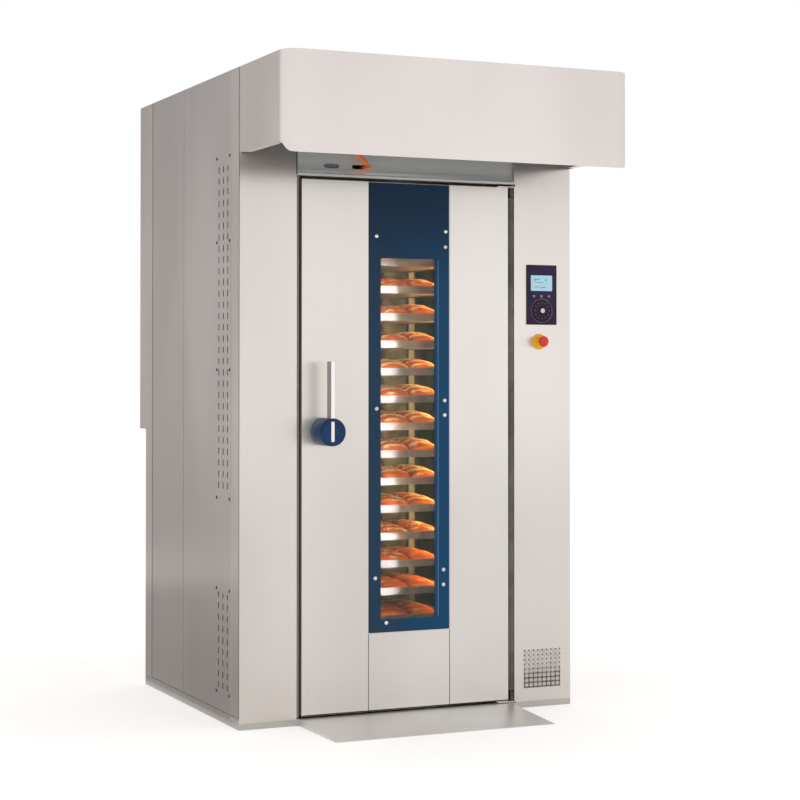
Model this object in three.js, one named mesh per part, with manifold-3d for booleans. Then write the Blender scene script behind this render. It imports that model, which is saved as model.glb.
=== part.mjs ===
// Rotating rack oven: a single-rack convection oven with a full-height door, a steam hood, a turning
// rack of trays and a radial circulation fan. Millimetres, +Z up, the front faces -Y, and the origin
// is on the floor at the axis on which the rack turns.
import * as THREE from 'three';
import { mergeVertices } from 'three/addons/utils/BufferGeometryUtils.js';
import Module from 'manifold-3d';

const wasm = await Module();
wasm.setup();

// ---- driving dimensions ----
const gap = 0.3; // clearance between pieces that touch or run on each other
const sheet = 1.5; // outer stainless sheet
const linerSheet = 2; // sheet of the chamber

const bodyWidth = 1310;
const bodyDepth = 1100;
const bodyHeight = 2300;
const leftColumnWidth = 214;
const rightColumnWidth = 235;
const doorGapLeft = 19;
const doorGapRight = 26;
const doorBottomZ = 29;
const headHeight = 380; // from the top of the door to the top of the body
const doorTopGap = 12;
const doorThickness = 80;
const sealThickness = 9.4;

const plinthHeight = 22;
const floorPlate = 2;
const railHeight = 40;
const railWidth = 25;

const plenumDepth = 102; // between the left liner wall and the slotted duct panel
const skinSpace = 26.2; // air between the insulation and the skin, on the left and at the back
const controlSpace = 126.2; // the same on the right, where the controls and cables run
const motorSpace = 133.2; // the same above, where the motors stand
const fanRoomHeight = 158;
const openingMargin = 22; // how far the door laps over the edge of the chamber opening
const insulationSide = 80;
const insulationBack = 55;
const insulationTop = 53;

const hoodDepth = 445;
const hoodHeight = 340; // at the front
const hoodSideHeight = 300;
const hoodCornerRadius = 60;
const hoodLip = 30;
const collarRadius = 75;
const collarHeight = 25;

const windowLeftInset = 257; // from the door's left edge to the window frame
const windowWidth = 318;
const windowFrameBottomZ = 309;
const clearWidth = 214;
const clearLeftInset = 46;
const clearBottomZ = 355;
const clearTopInset = 272; // from the door's top down to the clear pane
const surroundThickness = 4;
const paneThickness = 4;
const paneLap = 10;
const revealWidth = 35; // the door's opening runs this far behind the blue surround
const windowTopGap = 2; // from the top of the surround to the top of the door
const seamWidth = 3;

const handleInset = 81; // from the door's left edge
const handleZ = 1029;
const drumRadius = 49;
const drumDepth = 94;
const drumWindowZ = 1066; // upper end of the window in the drum's face
const drumSkin = 3; // in front of the bar
const barWidth = 14;
const barDepth = 37;
const barTopZ = 1276;
const barBottomZ = 995;
const handleShaftRadius = 12;
const latchReach = 93;
const latchWidth = 24;
const latchThickness = 8;

const turntableMargin = 18; // from the turntable to the nearest wall
const turntableThickness = 11.7;
const wheelRadius = 50;
const wheelWidth = 30;
const axleRadius = 6;
const trayLength = 650;
const trayWidth = 450;
const trayRim = 28;
const traySheet = 1.5;
const trayCount = 14;
const lowestTrayZ = 310; // centre of the lowest tray's rim
const topTraySpace = 136; // above the centre of the highest tray's rim
const rackHeadroom = 159.8; // from the rack to the ceiling
const postSize = 25;
const postInset = 25; // from the tray's end in y to the post's centre line
const runnerWidth = 20;
const runnerSheet = 2;
const runnerWall = 18;
const trayPlay = 3.5;
const spindleRadius = 15;
const tongueThickness = 6;

const fanInset = 193; // from the left wall of the chamber to the fan's axis
const fanRadius = 175;
const fanBladeHeight = 90;
const fanBladeCount = 8;
const fanShaftRadius = 12;

const rearCoverDepth = 80;
const rearCoverBottomZ = 1013;
const cornerWrap = 84;
const rearSideWidth = 397;
const panelSeam = 3;
const rampLength = 342;
const rampSheet = 3;
const rampLeftGap = 8; // from the left column to the ramp
const rampRightGap = 20;

const ventWidth = 155;
const ventSlotPitch = 40;
const ventSlotHeight = 22;
const ventSlotWidth = 9;
const ventColumnPitch = 47;
const ventColumns = 3;

const panelInset = 51; // from the right column's inner edge
const panelWidth = 126;
const panelBottomZ = 1415;
const panelHeight = 222;
const dialZ = 1467;
const dialRadius = 42;
const estopInset = 52; // from the control panel's left edge
const estopZ = 1352;
const estopTravel = 5;

const damperRise = 51; // above the top of the door

// ---- places worked out from them ----
const leftX = -bodyWidth / 2;
const rightX = bodyWidth / 2;
const frontY = -bodyDepth / 2;
const backY = bodyDepth / 2;
const floorZ = plinthHeight + floorPlate;
const roofZ = bodyHeight - sheet;
const doorTopZ = bodyHeight - headHeight;
const hoodFrontZ = bodyHeight - hoodHeight;
const hoodSideZ = bodyHeight - hoodSideHeight;
const doorLeftX = leftX + leftColumnWidth + doorGapLeft;
const doorRightX = rightX - rightColumnWidth - doorGapRight;
const leftColumnX = leftX + leftColumnWidth;
const rightColumnX = rightX - rightColumnWidth;
const doorBackY = frontY + doorThickness;
const frameY = doorBackY + gap + sealThickness + gap; // front face of the chamber's front frame
const openingLeftX = doorLeftX + openingMargin;
const openingRightX = doorRightX - openingMargin;
const openingTopZ = doorTopZ - openingMargin;
const headerZ = doorTopZ + doorTopGap;
const linerLeftX = leftX + sheet + skinSpace + insulationSide + gap + linerSheet;
const chamberLeftX = linerLeftX + plenumDepth;
const chamberRightX = rightX - sheet - controlSpace - insulationSide - gap - linerSheet;
const chamberBackY = backY - sheet - skinSpace - insulationBack - gap - linerSheet;
const jacketTopZ = roofZ - motorSpace;
const linerTopZ = jacketTopZ - insulationTop - gap - linerSheet;
const ceilingZ = linerTopZ - fanRoomHeight - linerSheet;
const fanX = chamberLeftX + fanInset;
const windowLeftX = doorLeftX + windowLeftInset;
const windowRightX = windowLeftX + windowWidth;
const clearLeftX = windowLeftX + clearLeftInset;
const clearRightX = clearLeftX + clearWidth;
const clearTopZ = doorTopZ - clearTopInset;
const recessY = frontY + surroundThickness + gap + paneThickness + gap;
const handleX = doorLeftX + handleInset;
const barFrontY = frontY - drumDepth + drumSkin;
const panelLeftX = rightColumnX + panelInset;
const dialX = panelLeftX + panelWidth / 2;
const estopX = panelLeftX + estopInset;
const damperZ = doorTopZ + damperRise;
const hingeX = rightColumnX - doorGapRight / 2;
const hingeY = frontY - 2;
const postX = trayLength / 2 + trayPlay + runnerSheet + postSize / 2;
const postY = trayWidth / 2 - postInset;
const wheelZ = floorZ + gap + wheelRadius;
const rackBottomZ = wheelZ + wheelRadius + 6;
const rackTopZ = ceilingZ - rackHeadroom;
const trayPitch = (rackTopZ - topTraySpace - lowestTrayZ) / (trayCount - 1);
const wallDistances = [-chamberLeftX, chamberRightX, chamberBackY, -frameY - linerSheet];
const turntableRadius = Math.min(...wallDistances) - turntableMargin;
const spindleTopZ = jacketTopZ + 40;

// ---- materials ----
const paint = (color, roughness, metalness, extra = {}) =>
  new THREE.MeshStandardMaterial({ color, roughness, metalness, flatShading: true, ...extra });
const looks = {
  stainless: paint(0xd8d4cf, 0.35, 0.9),
  innerSteel: paint(0x9a958f, 0.45, 0.9),
  darkSteel: paint(0x4b4a49, 0.5, 0.7),
  wool: paint(0xc9b98a, 1, 0),
  blue: paint(0x27476b, 0.35, 0.1),
  glass: paint(0xbfd0cc, 0.05, 0, { transparent: true, opacity: 0.35 }),
  rubber: paint(0x2a2928, 0.8, 0),
  tray: paint(0xb9b4ac, 0.4, 0.9),
  wheel: paint(0x3a3a3c, 0.6, 0),
  navy: paint(0x2f2f48, 0.4, 0),
  yellow: paint(0xf3b81c, 0.5, 0),
  red: paint(0xe0241d, 0.4, 0),
  orange: paint(0xf2691d, 0.45, 0),
  motor: paint(0x6f7c86, 0.5, 0.4),
};

// ---- solids ----
// A closed geometry as a solid that can be joined and cut.
function solid(geometry) {
  geometry.deleteAttribute('normal');
  geometry.deleteAttribute('uv');
  const merged = mergeVertices(geometry, 1e-4);
  return new wasm.Manifold(new wasm.Mesh({
    numProp: 3,
    vertProperties: merged.attributes.position.array,
    triVerts: new Uint32Array(merged.index.array),
  }));
}

function box(x0, x1, y0, y1, z0, z1) {
  const geometry = new THREE.BoxGeometry(x1 - x0, y1 - y0, z1 - z0);
  geometry.translate((x0 + x1) / 2, (y0 + y1) / 2, (z0 + z1) / 2);
  return solid(geometry);
}

// The frame of a section drawn across one axis: y and z for 'x', x and z for 'y', x and y for 'z'.
const across = {
  x: new THREE.Matrix4().makeBasis(
    new THREE.Vector3(0, 1, 0), new THREE.Vector3(0, 0, 1), new THREE.Vector3(1, 0, 0)),
  y: new THREE.Matrix4().makeBasis(
    new THREE.Vector3(1, 0, 0), new THREE.Vector3(0, 0, 1), new THREE.Vector3(0, -1, 0)),
  z: new THREE.Matrix4(),
};

// A drawn shape pushed along an axis from one place to another.
function push(shape, axis, from, to, curveSegments = 8) {
  const depth = to - from;
  const geometry = new THREE.ExtrudeGeometry(shape, { depth, bevelEnabled: false, curveSegments });
  const start = axis === 'y' ? to : from;
  geometry.translate(0, 0, axis === 'y' ? -start : start);
  geometry.applyMatrix4(across[axis]);
  return solid(geometry);
}

function outline(points) {
  return new THREE.Shape(points.map(([a, b]) => new THREE.Vector2(a, b)));
}

// A rectangle with round corners, also used as a slot when the radius is half its height.
function rounded(x0, x1, y0, y1, radius, path = new THREE.Shape()) {
  path.moveTo(x0 + radius, y0);
  path.lineTo(x1 - radius, y0);
  path.absarc(x1 - radius, y0 + radius, radius, -Math.PI / 2, 0, false);
  path.lineTo(x1, y1 - radius);
  path.absarc(x1 - radius, y1 - radius, radius, 0, Math.PI / 2, false);
  path.lineTo(x0 + radius, y1);
  path.absarc(x0 + radius, y1 - radius, radius, Math.PI / 2, Math.PI, false);
  path.lineTo(x0, y0 + radius);
  path.absarc(x0 + radius, y0 + radius, radius, Math.PI, 1.5 * Math.PI, false);
  return path;
}

const turnTo = {
  x: geometry => geometry.rotateZ(-Math.PI / 2),
  y: geometry => geometry,
  z: geometry => geometry.rotateX(Math.PI / 2),
};

// A profile of [radius, height] points, listed along the axis, turned round it through a centre.
function turned(profile, axis, [x, y, z], sides = 32) {
  const points = profile.map(([radius, height]) => new THREE.Vector2(radius, height));
  const geometry = turnTo[axis](new THREE.LatheGeometry(points, sides));
  geometry.translate(x, y, z);
  return solid(geometry);
}

// A round bar along an axis, from one height on that axis to another.
function rod(axis, [x, y, z], radius, from, to, sides = 16) {
  return turned([[0, from], [radius, from], [radius, to], [0, to]], axis, [x, y, z], sides);
}

// A rounded quarter of a profile, from one direction to the next, for edges of turned pieces.
function roundEdge(radius, height, edge, startAngle, endAngle, steps = 4) {
  return Array.from({ length: steps + 1 }, (_, step) => {
    const angle = startAngle + ((endAngle - startAngle) * step) / steps;
    return [radius + edge * Math.cos(angle), height + edge * Math.sin(angle)];
  });
}

// The radius of a faceted bore that clears a pin of its own number of sides all the way round.
const boreOf = (radius, sides = 16) => (radius + gap) / Math.cos(Math.PI / sides);

const join = (...solids) => solids.reduce((whole, piece) => whole.add(piece));
const cut = (whole, ...tools) => tools.reduce((rest, tool) => rest.subtract(tool), whole);

const oven = new THREE.Group();
oven.name = 'rotating_rack_oven';

function place(name, piece, look) {
  const { vertProperties, triVerts } = piece.getMesh();
  const geometry = new THREE.BufferGeometry();
  geometry.setAttribute('position', new THREE.BufferAttribute(vertProperties, 3));
  geometry.setIndex(new THREE.BufferAttribute(triVerts, 1));
  const mesh = new THREE.Mesh(geometry, look);
  mesh.name = name;
  oven.add(mesh);
}

// A folded channel, open towards the inside, seen from above and pushed up in z.
function channel(x0, x1, y0, y1, z0, z1, openSide, thickness = sheet) {
  const outer = box(x0, x1, y0, y1, z0, z1);
  const sides = ['left', 'right', 'front', 'back'];
  const [west, east, south, north] = sides.map(side => (side === openSide ? -1 : thickness));
  return cut(outer, box(x0 + west, x1 - east, y0 + south, y1 - north, z0 - 1, z1 + 1));
}

// ---- base, with the turntable's recess ----
const recessRadius = turntableRadius + 3;
const recessZ = floorZ - turntableThickness - gap;
const pivotRadius = 20;
const pivotDepth = 8;
function baseFrame() {
  const railSpan = [leftX, rightX];
  return cut(
    join(
      box(leftX, rightX, frontY, backY, 0, plinthHeight),
      box(leftColumnX + 1, doorRightX, frontY, frameY + 1, plinthHeight - 1, floorZ),
      box(leftX + railWidth - 1, rightX - railWidth + 1, frameY, backY - railWidth + 1,
        plinthHeight - 1, floorZ),
      ...railSpan.map(x => {
        const inner = x - Math.sign(x) * railWidth;
        return box(Math.min(x, inner), Math.max(x, inner), frameY, backY, plinthHeight - 1, railHeight);
      }),
      box(leftX, rightX, backY - railWidth, backY, plinthHeight - 1, railHeight),
    ),
    rod('z', [0, 0, 0], recessRadius, recessZ, floorZ + 1, 40),
    rod('z', [0, 0, 0], boreOf(pivotRadius), recessZ - pivotDepth, floorZ),
  );
}
place('base_frame', baseFrame(), looks.darkSteel);

// ---- chamber liner: walls, top with two shaft collars, and the front frame the door seals on ----
const spindleCollarRadius = 34;
const fanCollarRadius = 60;
const linerBackY = chamberBackY + linerSheet;
const linerRightX = chamberRightX + linerSheet;
const frameBackY = frameY + linerSheet;
function chamberLiner() {
  const walls = cut(
    box(linerLeftX - linerSheet, linerRightX, frameBackY - 1, linerBackY,
      floorZ + gap, linerTopZ + linerSheet),
    box(linerLeftX, chamberRightX, frameY - 10, chamberBackY, 0, linerTopZ),
  );
  const frontFrame = cut(
    box(linerLeftX - linerSheet - insulationSide, linerRightX + insulationSide,
      frameY, frameBackY, floorZ + gap, jacketTopZ),
    box(openingLeftX, openingRightX, frameY - 1, frameBackY + 1, 0, openingTopZ),
  );
  return cut(
    join(
      walls,
      frontFrame,
      rod('z', [0, 0, 0], spindleCollarRadius, linerTopZ, jacketTopZ),
      rod('z', [fanX, 0, 0], fanCollarRadius, linerTopZ, jacketTopZ),
    ),
    rod('z', [0, 0, 0], spindleRadius + gap, linerTopZ - 1, jacketTopZ + 1),
    rod('z', [fanX, 0, 0], fanShaftRadius + gap, linerTopZ - 1, jacketTopZ + 1),
  );
}
place('chamber_liner', chamberLiner(), looks.innerSteel);

function insulationJacket() {
  return cut(
    box(linerLeftX - linerSheet - gap - insulationSide, linerRightX + gap + insulationSide,
      frameBackY + gap, linerBackY + gap + insulationBack, floorZ + gap, jacketTopZ),
    box(linerLeftX - linerSheet - gap, linerRightX + gap, frameY, linerBackY + gap, 0,
      linerTopZ + linerSheet + gap),
    rod('z', [0, 0, 0], spindleCollarRadius + gap, linerTopZ, jacketTopZ + 1),
    rod('z', [fanX, 0, 0], fanCollarRadius + gap, linerTopZ, jacketTopZ + 1),
  );
}
place('insulation_jacket', insulationJacket(), looks.wool);

// ---- air duct panel: slotted false wall and ceiling with the fan's inlet ----
const ductSlotWidth = 130;
const ductSlotHeight = 12;
const ductSlotPitch = 230;
const inletRadius = 140;
function airDuctPanel() {
  const panel = join(
    box(chamberLeftX - linerSheet, chamberLeftX, frameBackY + gap, chamberBackY - gap,
      floorZ + gap, ceilingZ + linerSheet),
    box(chamberLeftX - 1, chamberRightX - gap, frameBackY + gap, chamberBackY - gap,
      ceilingZ, ceilingZ + linerSheet),
  );
  const slots = [];
  for (let z = floorZ + ductSlotPitch; z < ceilingZ - ductSlotPitch / 2; z += ductSlotPitch) {
    for (const y of [-ductSlotWidth, ductSlotWidth]) {
      slots.push(box(chamberLeftX - 10, chamberLeftX + 10, y - ductSlotWidth / 2, y + ductSlotWidth / 2,
        z, z + ductSlotHeight));
    }
  }
  return cut(
    panel,
    ...slots,
    rod('z', [fanX, 0, 0], inletRadius, ceilingZ - 1, ceilingZ + linerSheet + 1, 24),
    rod('z', [0, 0, 0], spindleRadius + 5, ceilingZ - 1, ceilingZ + linerSheet + 1),
  );
}
place('air_duct_panel', airDuctPanel(), looks.innerSteel);

// ---- heater bank: hairpin tubes hanging from a header in the plenum ----
const hairpinCount = 3;
const hairpinPitch = 160;
const hairpinHalf = 28;
const heaterTubeRadius = 8;
const heaterHeadHeight = 30;
const heaterX = linerLeftX + heaterHeadHeight;
const heaterTopZ = ceilingZ - 150;
const heaterBottomZ = 500;
function heaterBank() {
  const half = (hairpinCount * hairpinPitch) / 2;
  const bendSpace = hairpinHalf + 2 * heaterTubeRadius;
  const headX = heaterX + heaterTubeRadius + 12;
  const pieces = [box(linerLeftX + gap, headX, -half, half, heaterTopZ, heaterTopZ + heaterHeadHeight)];
  for (let index = 0; index < hairpinCount; index += 1) {
    const y = (index - (hairpinCount - 1) / 2) * hairpinPitch;
    const bend = new THREE.TorusGeometry(hairpinHalf, heaterTubeRadius, 6, 12, Math.PI * 2);
    bend.rotateY(Math.PI / 2);
    bend.translate(heaterX, y, heaterBottomZ);
    const lower = box(heaterX - bendSpace, heaterX + bendSpace, y - bendSpace, y + bendSpace,
      heaterBottomZ - bendSpace, heaterBottomZ);
    pieces.push(solid(bend).intersect(lower));
    for (const side of [-hairpinHalf, hairpinHalf]) {
      pieces.push(rod('z', [heaterX, y + side, 0], heaterTubeRadius, heaterBottomZ - 1, heaterTopZ + 1, 6));
    }
  }
  return join(...pieces);
}
place('heater_bank', heaterBank(), looks.darkSteel);

// ---- circulation fan and its motor ----
const fanBottomZ = ceilingZ + linerSheet + 15;
const fanPlateZ = fanBottomZ + fanBladeHeight;
const motorRadius = 70;
const motorTopZ = roofZ - 12;
const motorSocket = 45;
const motorFlange = 170;
const motorFlangeHeight = 8;
function circulationFan() {
  const pieces = [
    rod('z', [fanX, 0, 0], fanRadius, fanPlateZ - 1, fanPlateZ + 3, 18),
    rod('z', [fanX, 0, 0], 30, fanBottomZ + 20, fanPlateZ, 12),
    rod('z', [fanX, 0, 0], fanShaftRadius, fanPlateZ, jacketTopZ + motorSocket - 2),
    cut(
      rod('z', [fanX, 0, 0], fanRadius, fanBottomZ, fanBottomZ + 3, 18),
      rod('z', [fanX, 0, 0], inletRadius - 15, fanBottomZ - 1, fanBottomZ + 4, 18),
    ),
  ];
  for (let index = 0; index < fanBladeCount; index += 1) {
    const blade = new THREE.Shape();
    blade.moveTo(95, 0);
    blade.quadraticCurveTo(130, 30, fanRadius - 3, 25);
    blade.lineTo(fanRadius - 3, 28);
    blade.quadraticCurveTo(129, 33, 93, 3);
    blade.closePath();
    const geometry = new THREE.ExtrudeGeometry(blade, {
      depth: fanBladeHeight, bevelEnabled: false, curveSegments: 2,
    });
    geometry.rotateZ((index / fanBladeCount) * Math.PI * 2);
    geometry.translate(fanX, 0, fanBottomZ);
    pieces.push(solid(geometry));
  }
  return join(...pieces);
}
place('circulation_fan', circulationFan(), looks.innerSteel);

function fanMotor() {
  const finCount = 2;
  const bodyZ = jacketTopZ + gap + motorFlangeHeight;
  const finPitch = (motorTopZ - bodyZ - 20) / finCount;
  const profile = [[0, bodyZ - 2]];
  for (let fin = 0; fin < finCount; fin += 1) {
    const z = bodyZ + fin * finPitch;
    profile.push([motorRadius, z === bodyZ ? bodyZ - 2 : z]);
    profile.push([motorRadius, z + finPitch / 2]);
    profile.push([motorRadius - 8, z + finPitch / 2]);
    profile.push([motorRadius - 8, z + finPitch]);
  }
  profile.push([motorRadius - 6, motorTopZ - 20]);
  profile.push([motorRadius - 6, motorTopZ - 8]);
  profile.push([motorRadius - 16, motorTopZ]);
  profile.push([0, motorTopZ]);
  return cut(
    join(
      turned(profile, 'z', [fanX, 0, 0], 14),
      box(fanX - motorFlange / 2, fanX + motorFlange / 2, -motorFlange / 2, motorFlange / 2,
        jacketTopZ + gap, bodyZ),
    ),
    rod('z', [fanX, 0, 0], fanShaftRadius + gap, jacketTopZ, jacketTopZ + motorSocket),
  );
}
place('fan_motor', fanMotor(), looks.motor);

const gearbox = { left: 60, right: 75, half: 55, height: 80 };
const gearmotor = { radius: 42, length: 165, y: -20, rise: 48, capRadius: 34, capLength: 12 };
function driveGearmotor() {
  const boxZ = jacketTopZ + gap;
  const centre = [0, gearmotor.y, boxZ + gearmotor.rise];
  const motorEndX = gearbox.right + gearmotor.length;
  return cut(
    join(
      box(-gearbox.left, gearbox.right, -gearbox.half, gearbox.half, boxZ, boxZ + gearbox.height),
      rod('x', centre, gearmotor.radius, gearbox.right - 5, motorEndX),
      rod('x', centre, gearmotor.capRadius, motorEndX - 5, motorEndX + gearmotor.capLength),
    ),
    rod('z', [0, 0, 0], spindleRadius + gap, boxZ - 1, spindleTopZ + 2),
  );
}
place('drive_gearmotor', driveGearmotor(), looks.motor);

// ---- outer skin ----
const panelBottom = railHeight + gap;
const panelTop = roofZ - gap;
const sidePanelFrontY = frameY;
const sidePanelBackY = backY - cornerWrap;
const ventStartY = frameY - 5;
const foldDepth = 18;
const ventMargin = 52; // from the last slot to the cover's edge
const upperVent = { bottomZ: 780, topZ: bodyHeight - 285, firstSlotZ: 838 };
const lowerVent = { bottomZ: 90, topZ: 485, firstSlotZ: 130 };
const sideSeamY = sidePanelBackY - rearSideWidth;

function sidePanel(outerX, y0, y1, z0 = panelBottom, z1 = panelTop) {
  const inner = outerX - Math.sign(outerX) * foldDepth;
  const side = outerX > 0 ? 'left' : 'right';
  return channel(Math.min(outerX, inner), Math.max(outerX, inner), y0, y1, z0, z1, side);
}

function leftFrontPanel() {
  const windows = [upperVent, lowerVent].map(vent => box(
    leftX - 1, leftX + sheet + 1, ventStartY + 25, ventStartY + ventWidth - 14,
    vent.bottomZ + 28, vent.topZ - 28));
  return cut(sidePanel(leftX, sidePanelFrontY, sideSeamY - panelSeam), ...windows);
}
place('left_front_panel', leftFrontPanel(), looks.stainless);
place('left_rear_panel', sidePanel(leftX, sideSeamY, sidePanelBackY - panelSeam), looks.stainless);
place('right_side_panel', sidePanel(rightX, sidePanelFrontY, sidePanelBackY - panelSeam), looks.stainless);

// A vent cover: a plate with three columns of short upright slots.
function ventCover({ bottomZ, topZ, firstSlotZ }) {
  const thickness = [leftX - gap - sheet, leftX - gap];
  const plate = box(...thickness, ventStartY, ventStartY + ventWidth, bottomZ, topZ);
  const openings = [];
  for (let column = 0; column < ventColumns; column += 1) {
    const y = ventStartY + ventWidth / 2 + (column - (ventColumns - 1) / 2) * ventColumnPitch;
    for (let z = firstSlotZ; z < topZ - ventMargin + ventSlotPitch / 2; z += ventSlotPitch) {
      openings.push(box(thickness[0] - 1, thickness[1] + 1, y - ventSlotWidth / 2, y + ventSlotWidth / 2,
        z - ventSlotHeight / 2, z + ventSlotHeight / 2));
    }
  }
  return cut(plate, ...openings);
}
place('left_upper_vent', ventCover(upperVent), looks.stainless);
place('left_lower_vent', ventCover(lowerVent), looks.stainless);

place('rear_panel',
  channel(leftX, rightX, sidePanelBackY, backY, panelBottom, panelTop, 'front'), looks.stainless);

function rearServiceCover() {
  const coverY = backY + gap;
  return cut(
    box(leftX, rightX, coverY, coverY + rearCoverDepth, rearCoverBottomZ, bodyHeight),
    box(leftX + sheet, rightX - sheet, coverY - 1, coverY + rearCoverDepth - sheet,
      rearCoverBottomZ + sheet, bodyHeight - sheet),
  );
}
place('rear_service_cover', rearServiceCover(), looks.stainless);
place('roof_panel', box(leftX, rightX, frontY, backY, roofZ, bodyHeight), looks.stainless);

// ---- front columns and header ----
const columnBottom = plinthHeight + gap;
const columnBackY = frameY - gap;
place('left_column',
  channel(leftX, leftColumnX, frontY, columnBackY, columnBottom, panelTop, 'back'), looks.stainless);

const grille = { inset: 42, bottomZ: 76.5, holes: 8, pitchX: 18.4, pitchZ: 17, hole: 12 };
function rightColumn() {
  const plateY = [frontY - 1, frontY + sheet + 1];
  const holes = [];
  for (let column = 0; column < grille.holes; column += 1) {
    for (let row = 0; row < grille.holes; row += 1) {
      const x = rightColumnX + grille.inset + column * grille.pitchX;
      const z = grille.bottomZ + row * grille.pitchZ;
      holes.push(box(x, x + grille.hole, ...plateY, z, z + grille.hole));
    }
  }
  return cut(
    channel(rightColumnX, rightX, frontY, columnBackY, columnBottom, panelTop, 'back'),
    ...holes,
    box(panelLeftX + 8, panelLeftX + panelWidth - 8, ...plateY,
      panelBottomZ + 8, panelBottomZ + panelHeight - 8),
    rod('y', [estopX, 0, estopZ], 11, ...plateY),
  );
}
place('right_column', rightColumn(), looks.stainless);

// The header is a channel whose face coves back towards the door, with two oval damper slots.
const coveHeight = 45;
const coveDepth = 14;
const slotHalf = 28;
const slotHeight = 15;
const leftSlotX = leftColumnX + 137;
const rightSlotX = leftSlotX + 107;
const damperX = rightSlotX + 20;
function doorHeader() {
  const face = new THREE.Shape();
  face.moveTo(frontY, headerZ);
  face.lineTo(frontY, headerZ + 8);
  face.quadraticCurveTo(frontY + coveDepth, headerZ + 16, frontY + coveDepth, headerZ + coveHeight);
  face.lineTo(frontY + coveDepth, roofZ - gap - coveHeight);
  face.lineTo(frontY, roofZ - gap - coveHeight + 20);
  face.lineTo(frontY, roofZ - gap);
  face.lineTo(columnBackY, roofZ - gap);
  face.lineTo(columnBackY, roofZ - gap - sheet);
  face.lineTo(frontY + sheet, roofZ - gap - sheet);
  face.lineTo(frontY + sheet, roofZ - gap - coveHeight + 20.5);
  face.lineTo(frontY + coveDepth + sheet, roofZ - gap - coveHeight + 0.5);
  face.lineTo(frontY + coveDepth + sheet, headerZ + coveHeight);
  face.quadraticCurveTo(frontY + coveDepth + sheet, headerZ + 15, frontY + sheet, headerZ + 7);
  face.lineTo(frontY + sheet, headerZ + sheet);
  face.lineTo(columnBackY, headerZ + sheet);
  face.lineTo(columnBackY, headerZ);
  face.closePath();
  const body = push(face, 'x', leftColumnX + gap, rightColumnX - gap, 4);
  const slots = [leftSlotX, rightSlotX].map(x => push(
    rounded(x - slotHalf, x + slotHalf, damperZ - slotHeight / 2, damperZ + slotHeight / 2,
      slotHeight / 2 - 0.01),
    'y', frontY - 1, frontY + coveDepth + sheet + 4, 4));
  return cut(body, ...slots);
}
place('door_header', doorHeader(), looks.stainless);

// ---- damper lever: a pin in the right slot with an angled grip ----
const leverLength = 68;
const leverY = frontY - 25;
const leverPinRadius = slotHeight / 2 - 0.6;
function damperLever() {
  const grip = turned([
    [0, 12], [5, 12], [8, 16], [8, leverLength - 4], [6, leverLength], [0, leverLength],
  ], 'z', [0, 0, 0], 10);
  return join(
    rod('y', [damperX, 0, damperZ], leverPinRadius, leverY - 4, frontY + coveDepth + 30, 12),
    rod('z', [0, 0, 0], 4, 0, 20, 8).rotate([0, -45, 0]).translate([damperX, leverY, damperZ]),
    grip.rotate([0, -45, 0]).translate([damperX, leverY, damperZ]),
  );
}
place('damper_lever', damperLever(), looks.orange);

// ---- hood: an open canopy with round front corners, an inner lip and a flue collar ----
const hoodFrontY = frontY - hoodDepth;
const hoodBackY = frontY - gap;
function hoodOutline(inset) {
  const radius = hoodCornerRadius - inset;
  const [x0, x1, y0] = [leftX + inset, rightX - inset, hoodFrontY + inset];
  const shape = new THREE.Shape();
  shape.moveTo(x0, hoodBackY + inset);
  shape.lineTo(x0, y0 + radius);
  shape.absarc(x0 + radius, y0 + radius, radius, Math.PI, 1.5 * Math.PI, false);
  shape.lineTo(x1 - radius, y0);
  shape.absarc(x1 - radius, y0 + radius, radius, 1.5 * Math.PI, 2 * Math.PI, false);
  shape.lineTo(x1, hoodBackY + inset);
  shape.closePath();
  return shape;
}

// Everything below the hood's lower edge, which climbs from the fascia to the sides.
function belowHood(lift) {
  const edge = new THREE.Shape();
  const turnY = hoodFrontY + hoodCornerRadius;
  const under = hoodFrontZ - hoodDepth;
  edge.moveTo(hoodFrontY - 10, under);
  edge.lineTo(hoodFrontY - 10, hoodFrontZ + lift);
  edge.lineTo(hoodFrontY + 2, hoodFrontZ + lift);
  edge.bezierCurveTo(hoodFrontY + hoodCornerRadius / 2, hoodFrontZ + lift,
    turnY - hoodCornerRadius / 2, hoodSideZ + lift, turnY, hoodSideZ + lift);
  edge.lineTo(backY, hoodSideZ + lift);
  edge.lineTo(backY, under);
  edge.closePath();
  return push(edge, 'x', leftX - 10, rightX + 10, 5);
}

function hoodShell() {
  const flueY = frontY - hoodDepth / 2;
  const lowest = hoodFrontZ - 50;
  const outer = cut(push(hoodOutline(0), 'z', lowest, bodyHeight, 5), belowHood(0));
  const inner = cut(push(hoodOutline(sheet), 'z', lowest, roofZ, 5), belowHood(sheet));
  const mouth = push(hoodOutline(hoodLip), 'z', lowest, roofZ - 20, 5);
  const canopyBack = hoodBackY + 40;
  return cut(
    join(
      cut(outer, inner, mouth,
        box(leftX + sheet, rightX - sheet, hoodBackY - 40, canopyBack, lowest, roofZ)),
      rod('z', [0, flueY, 0], collarRadius, bodyHeight - sheet / 2, bodyHeight + collarHeight),
    ),
    rod('z', [0, flueY, 0], collarRadius - sheet, roofZ - 10, bodyHeight + collarHeight + 1),
    box(leftX - 1, rightX + 1, hoodBackY, canopyBack, lowest, bodyHeight + 1),
  );
}
place('hood_shell', hoodShell(), looks.stainless);

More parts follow.
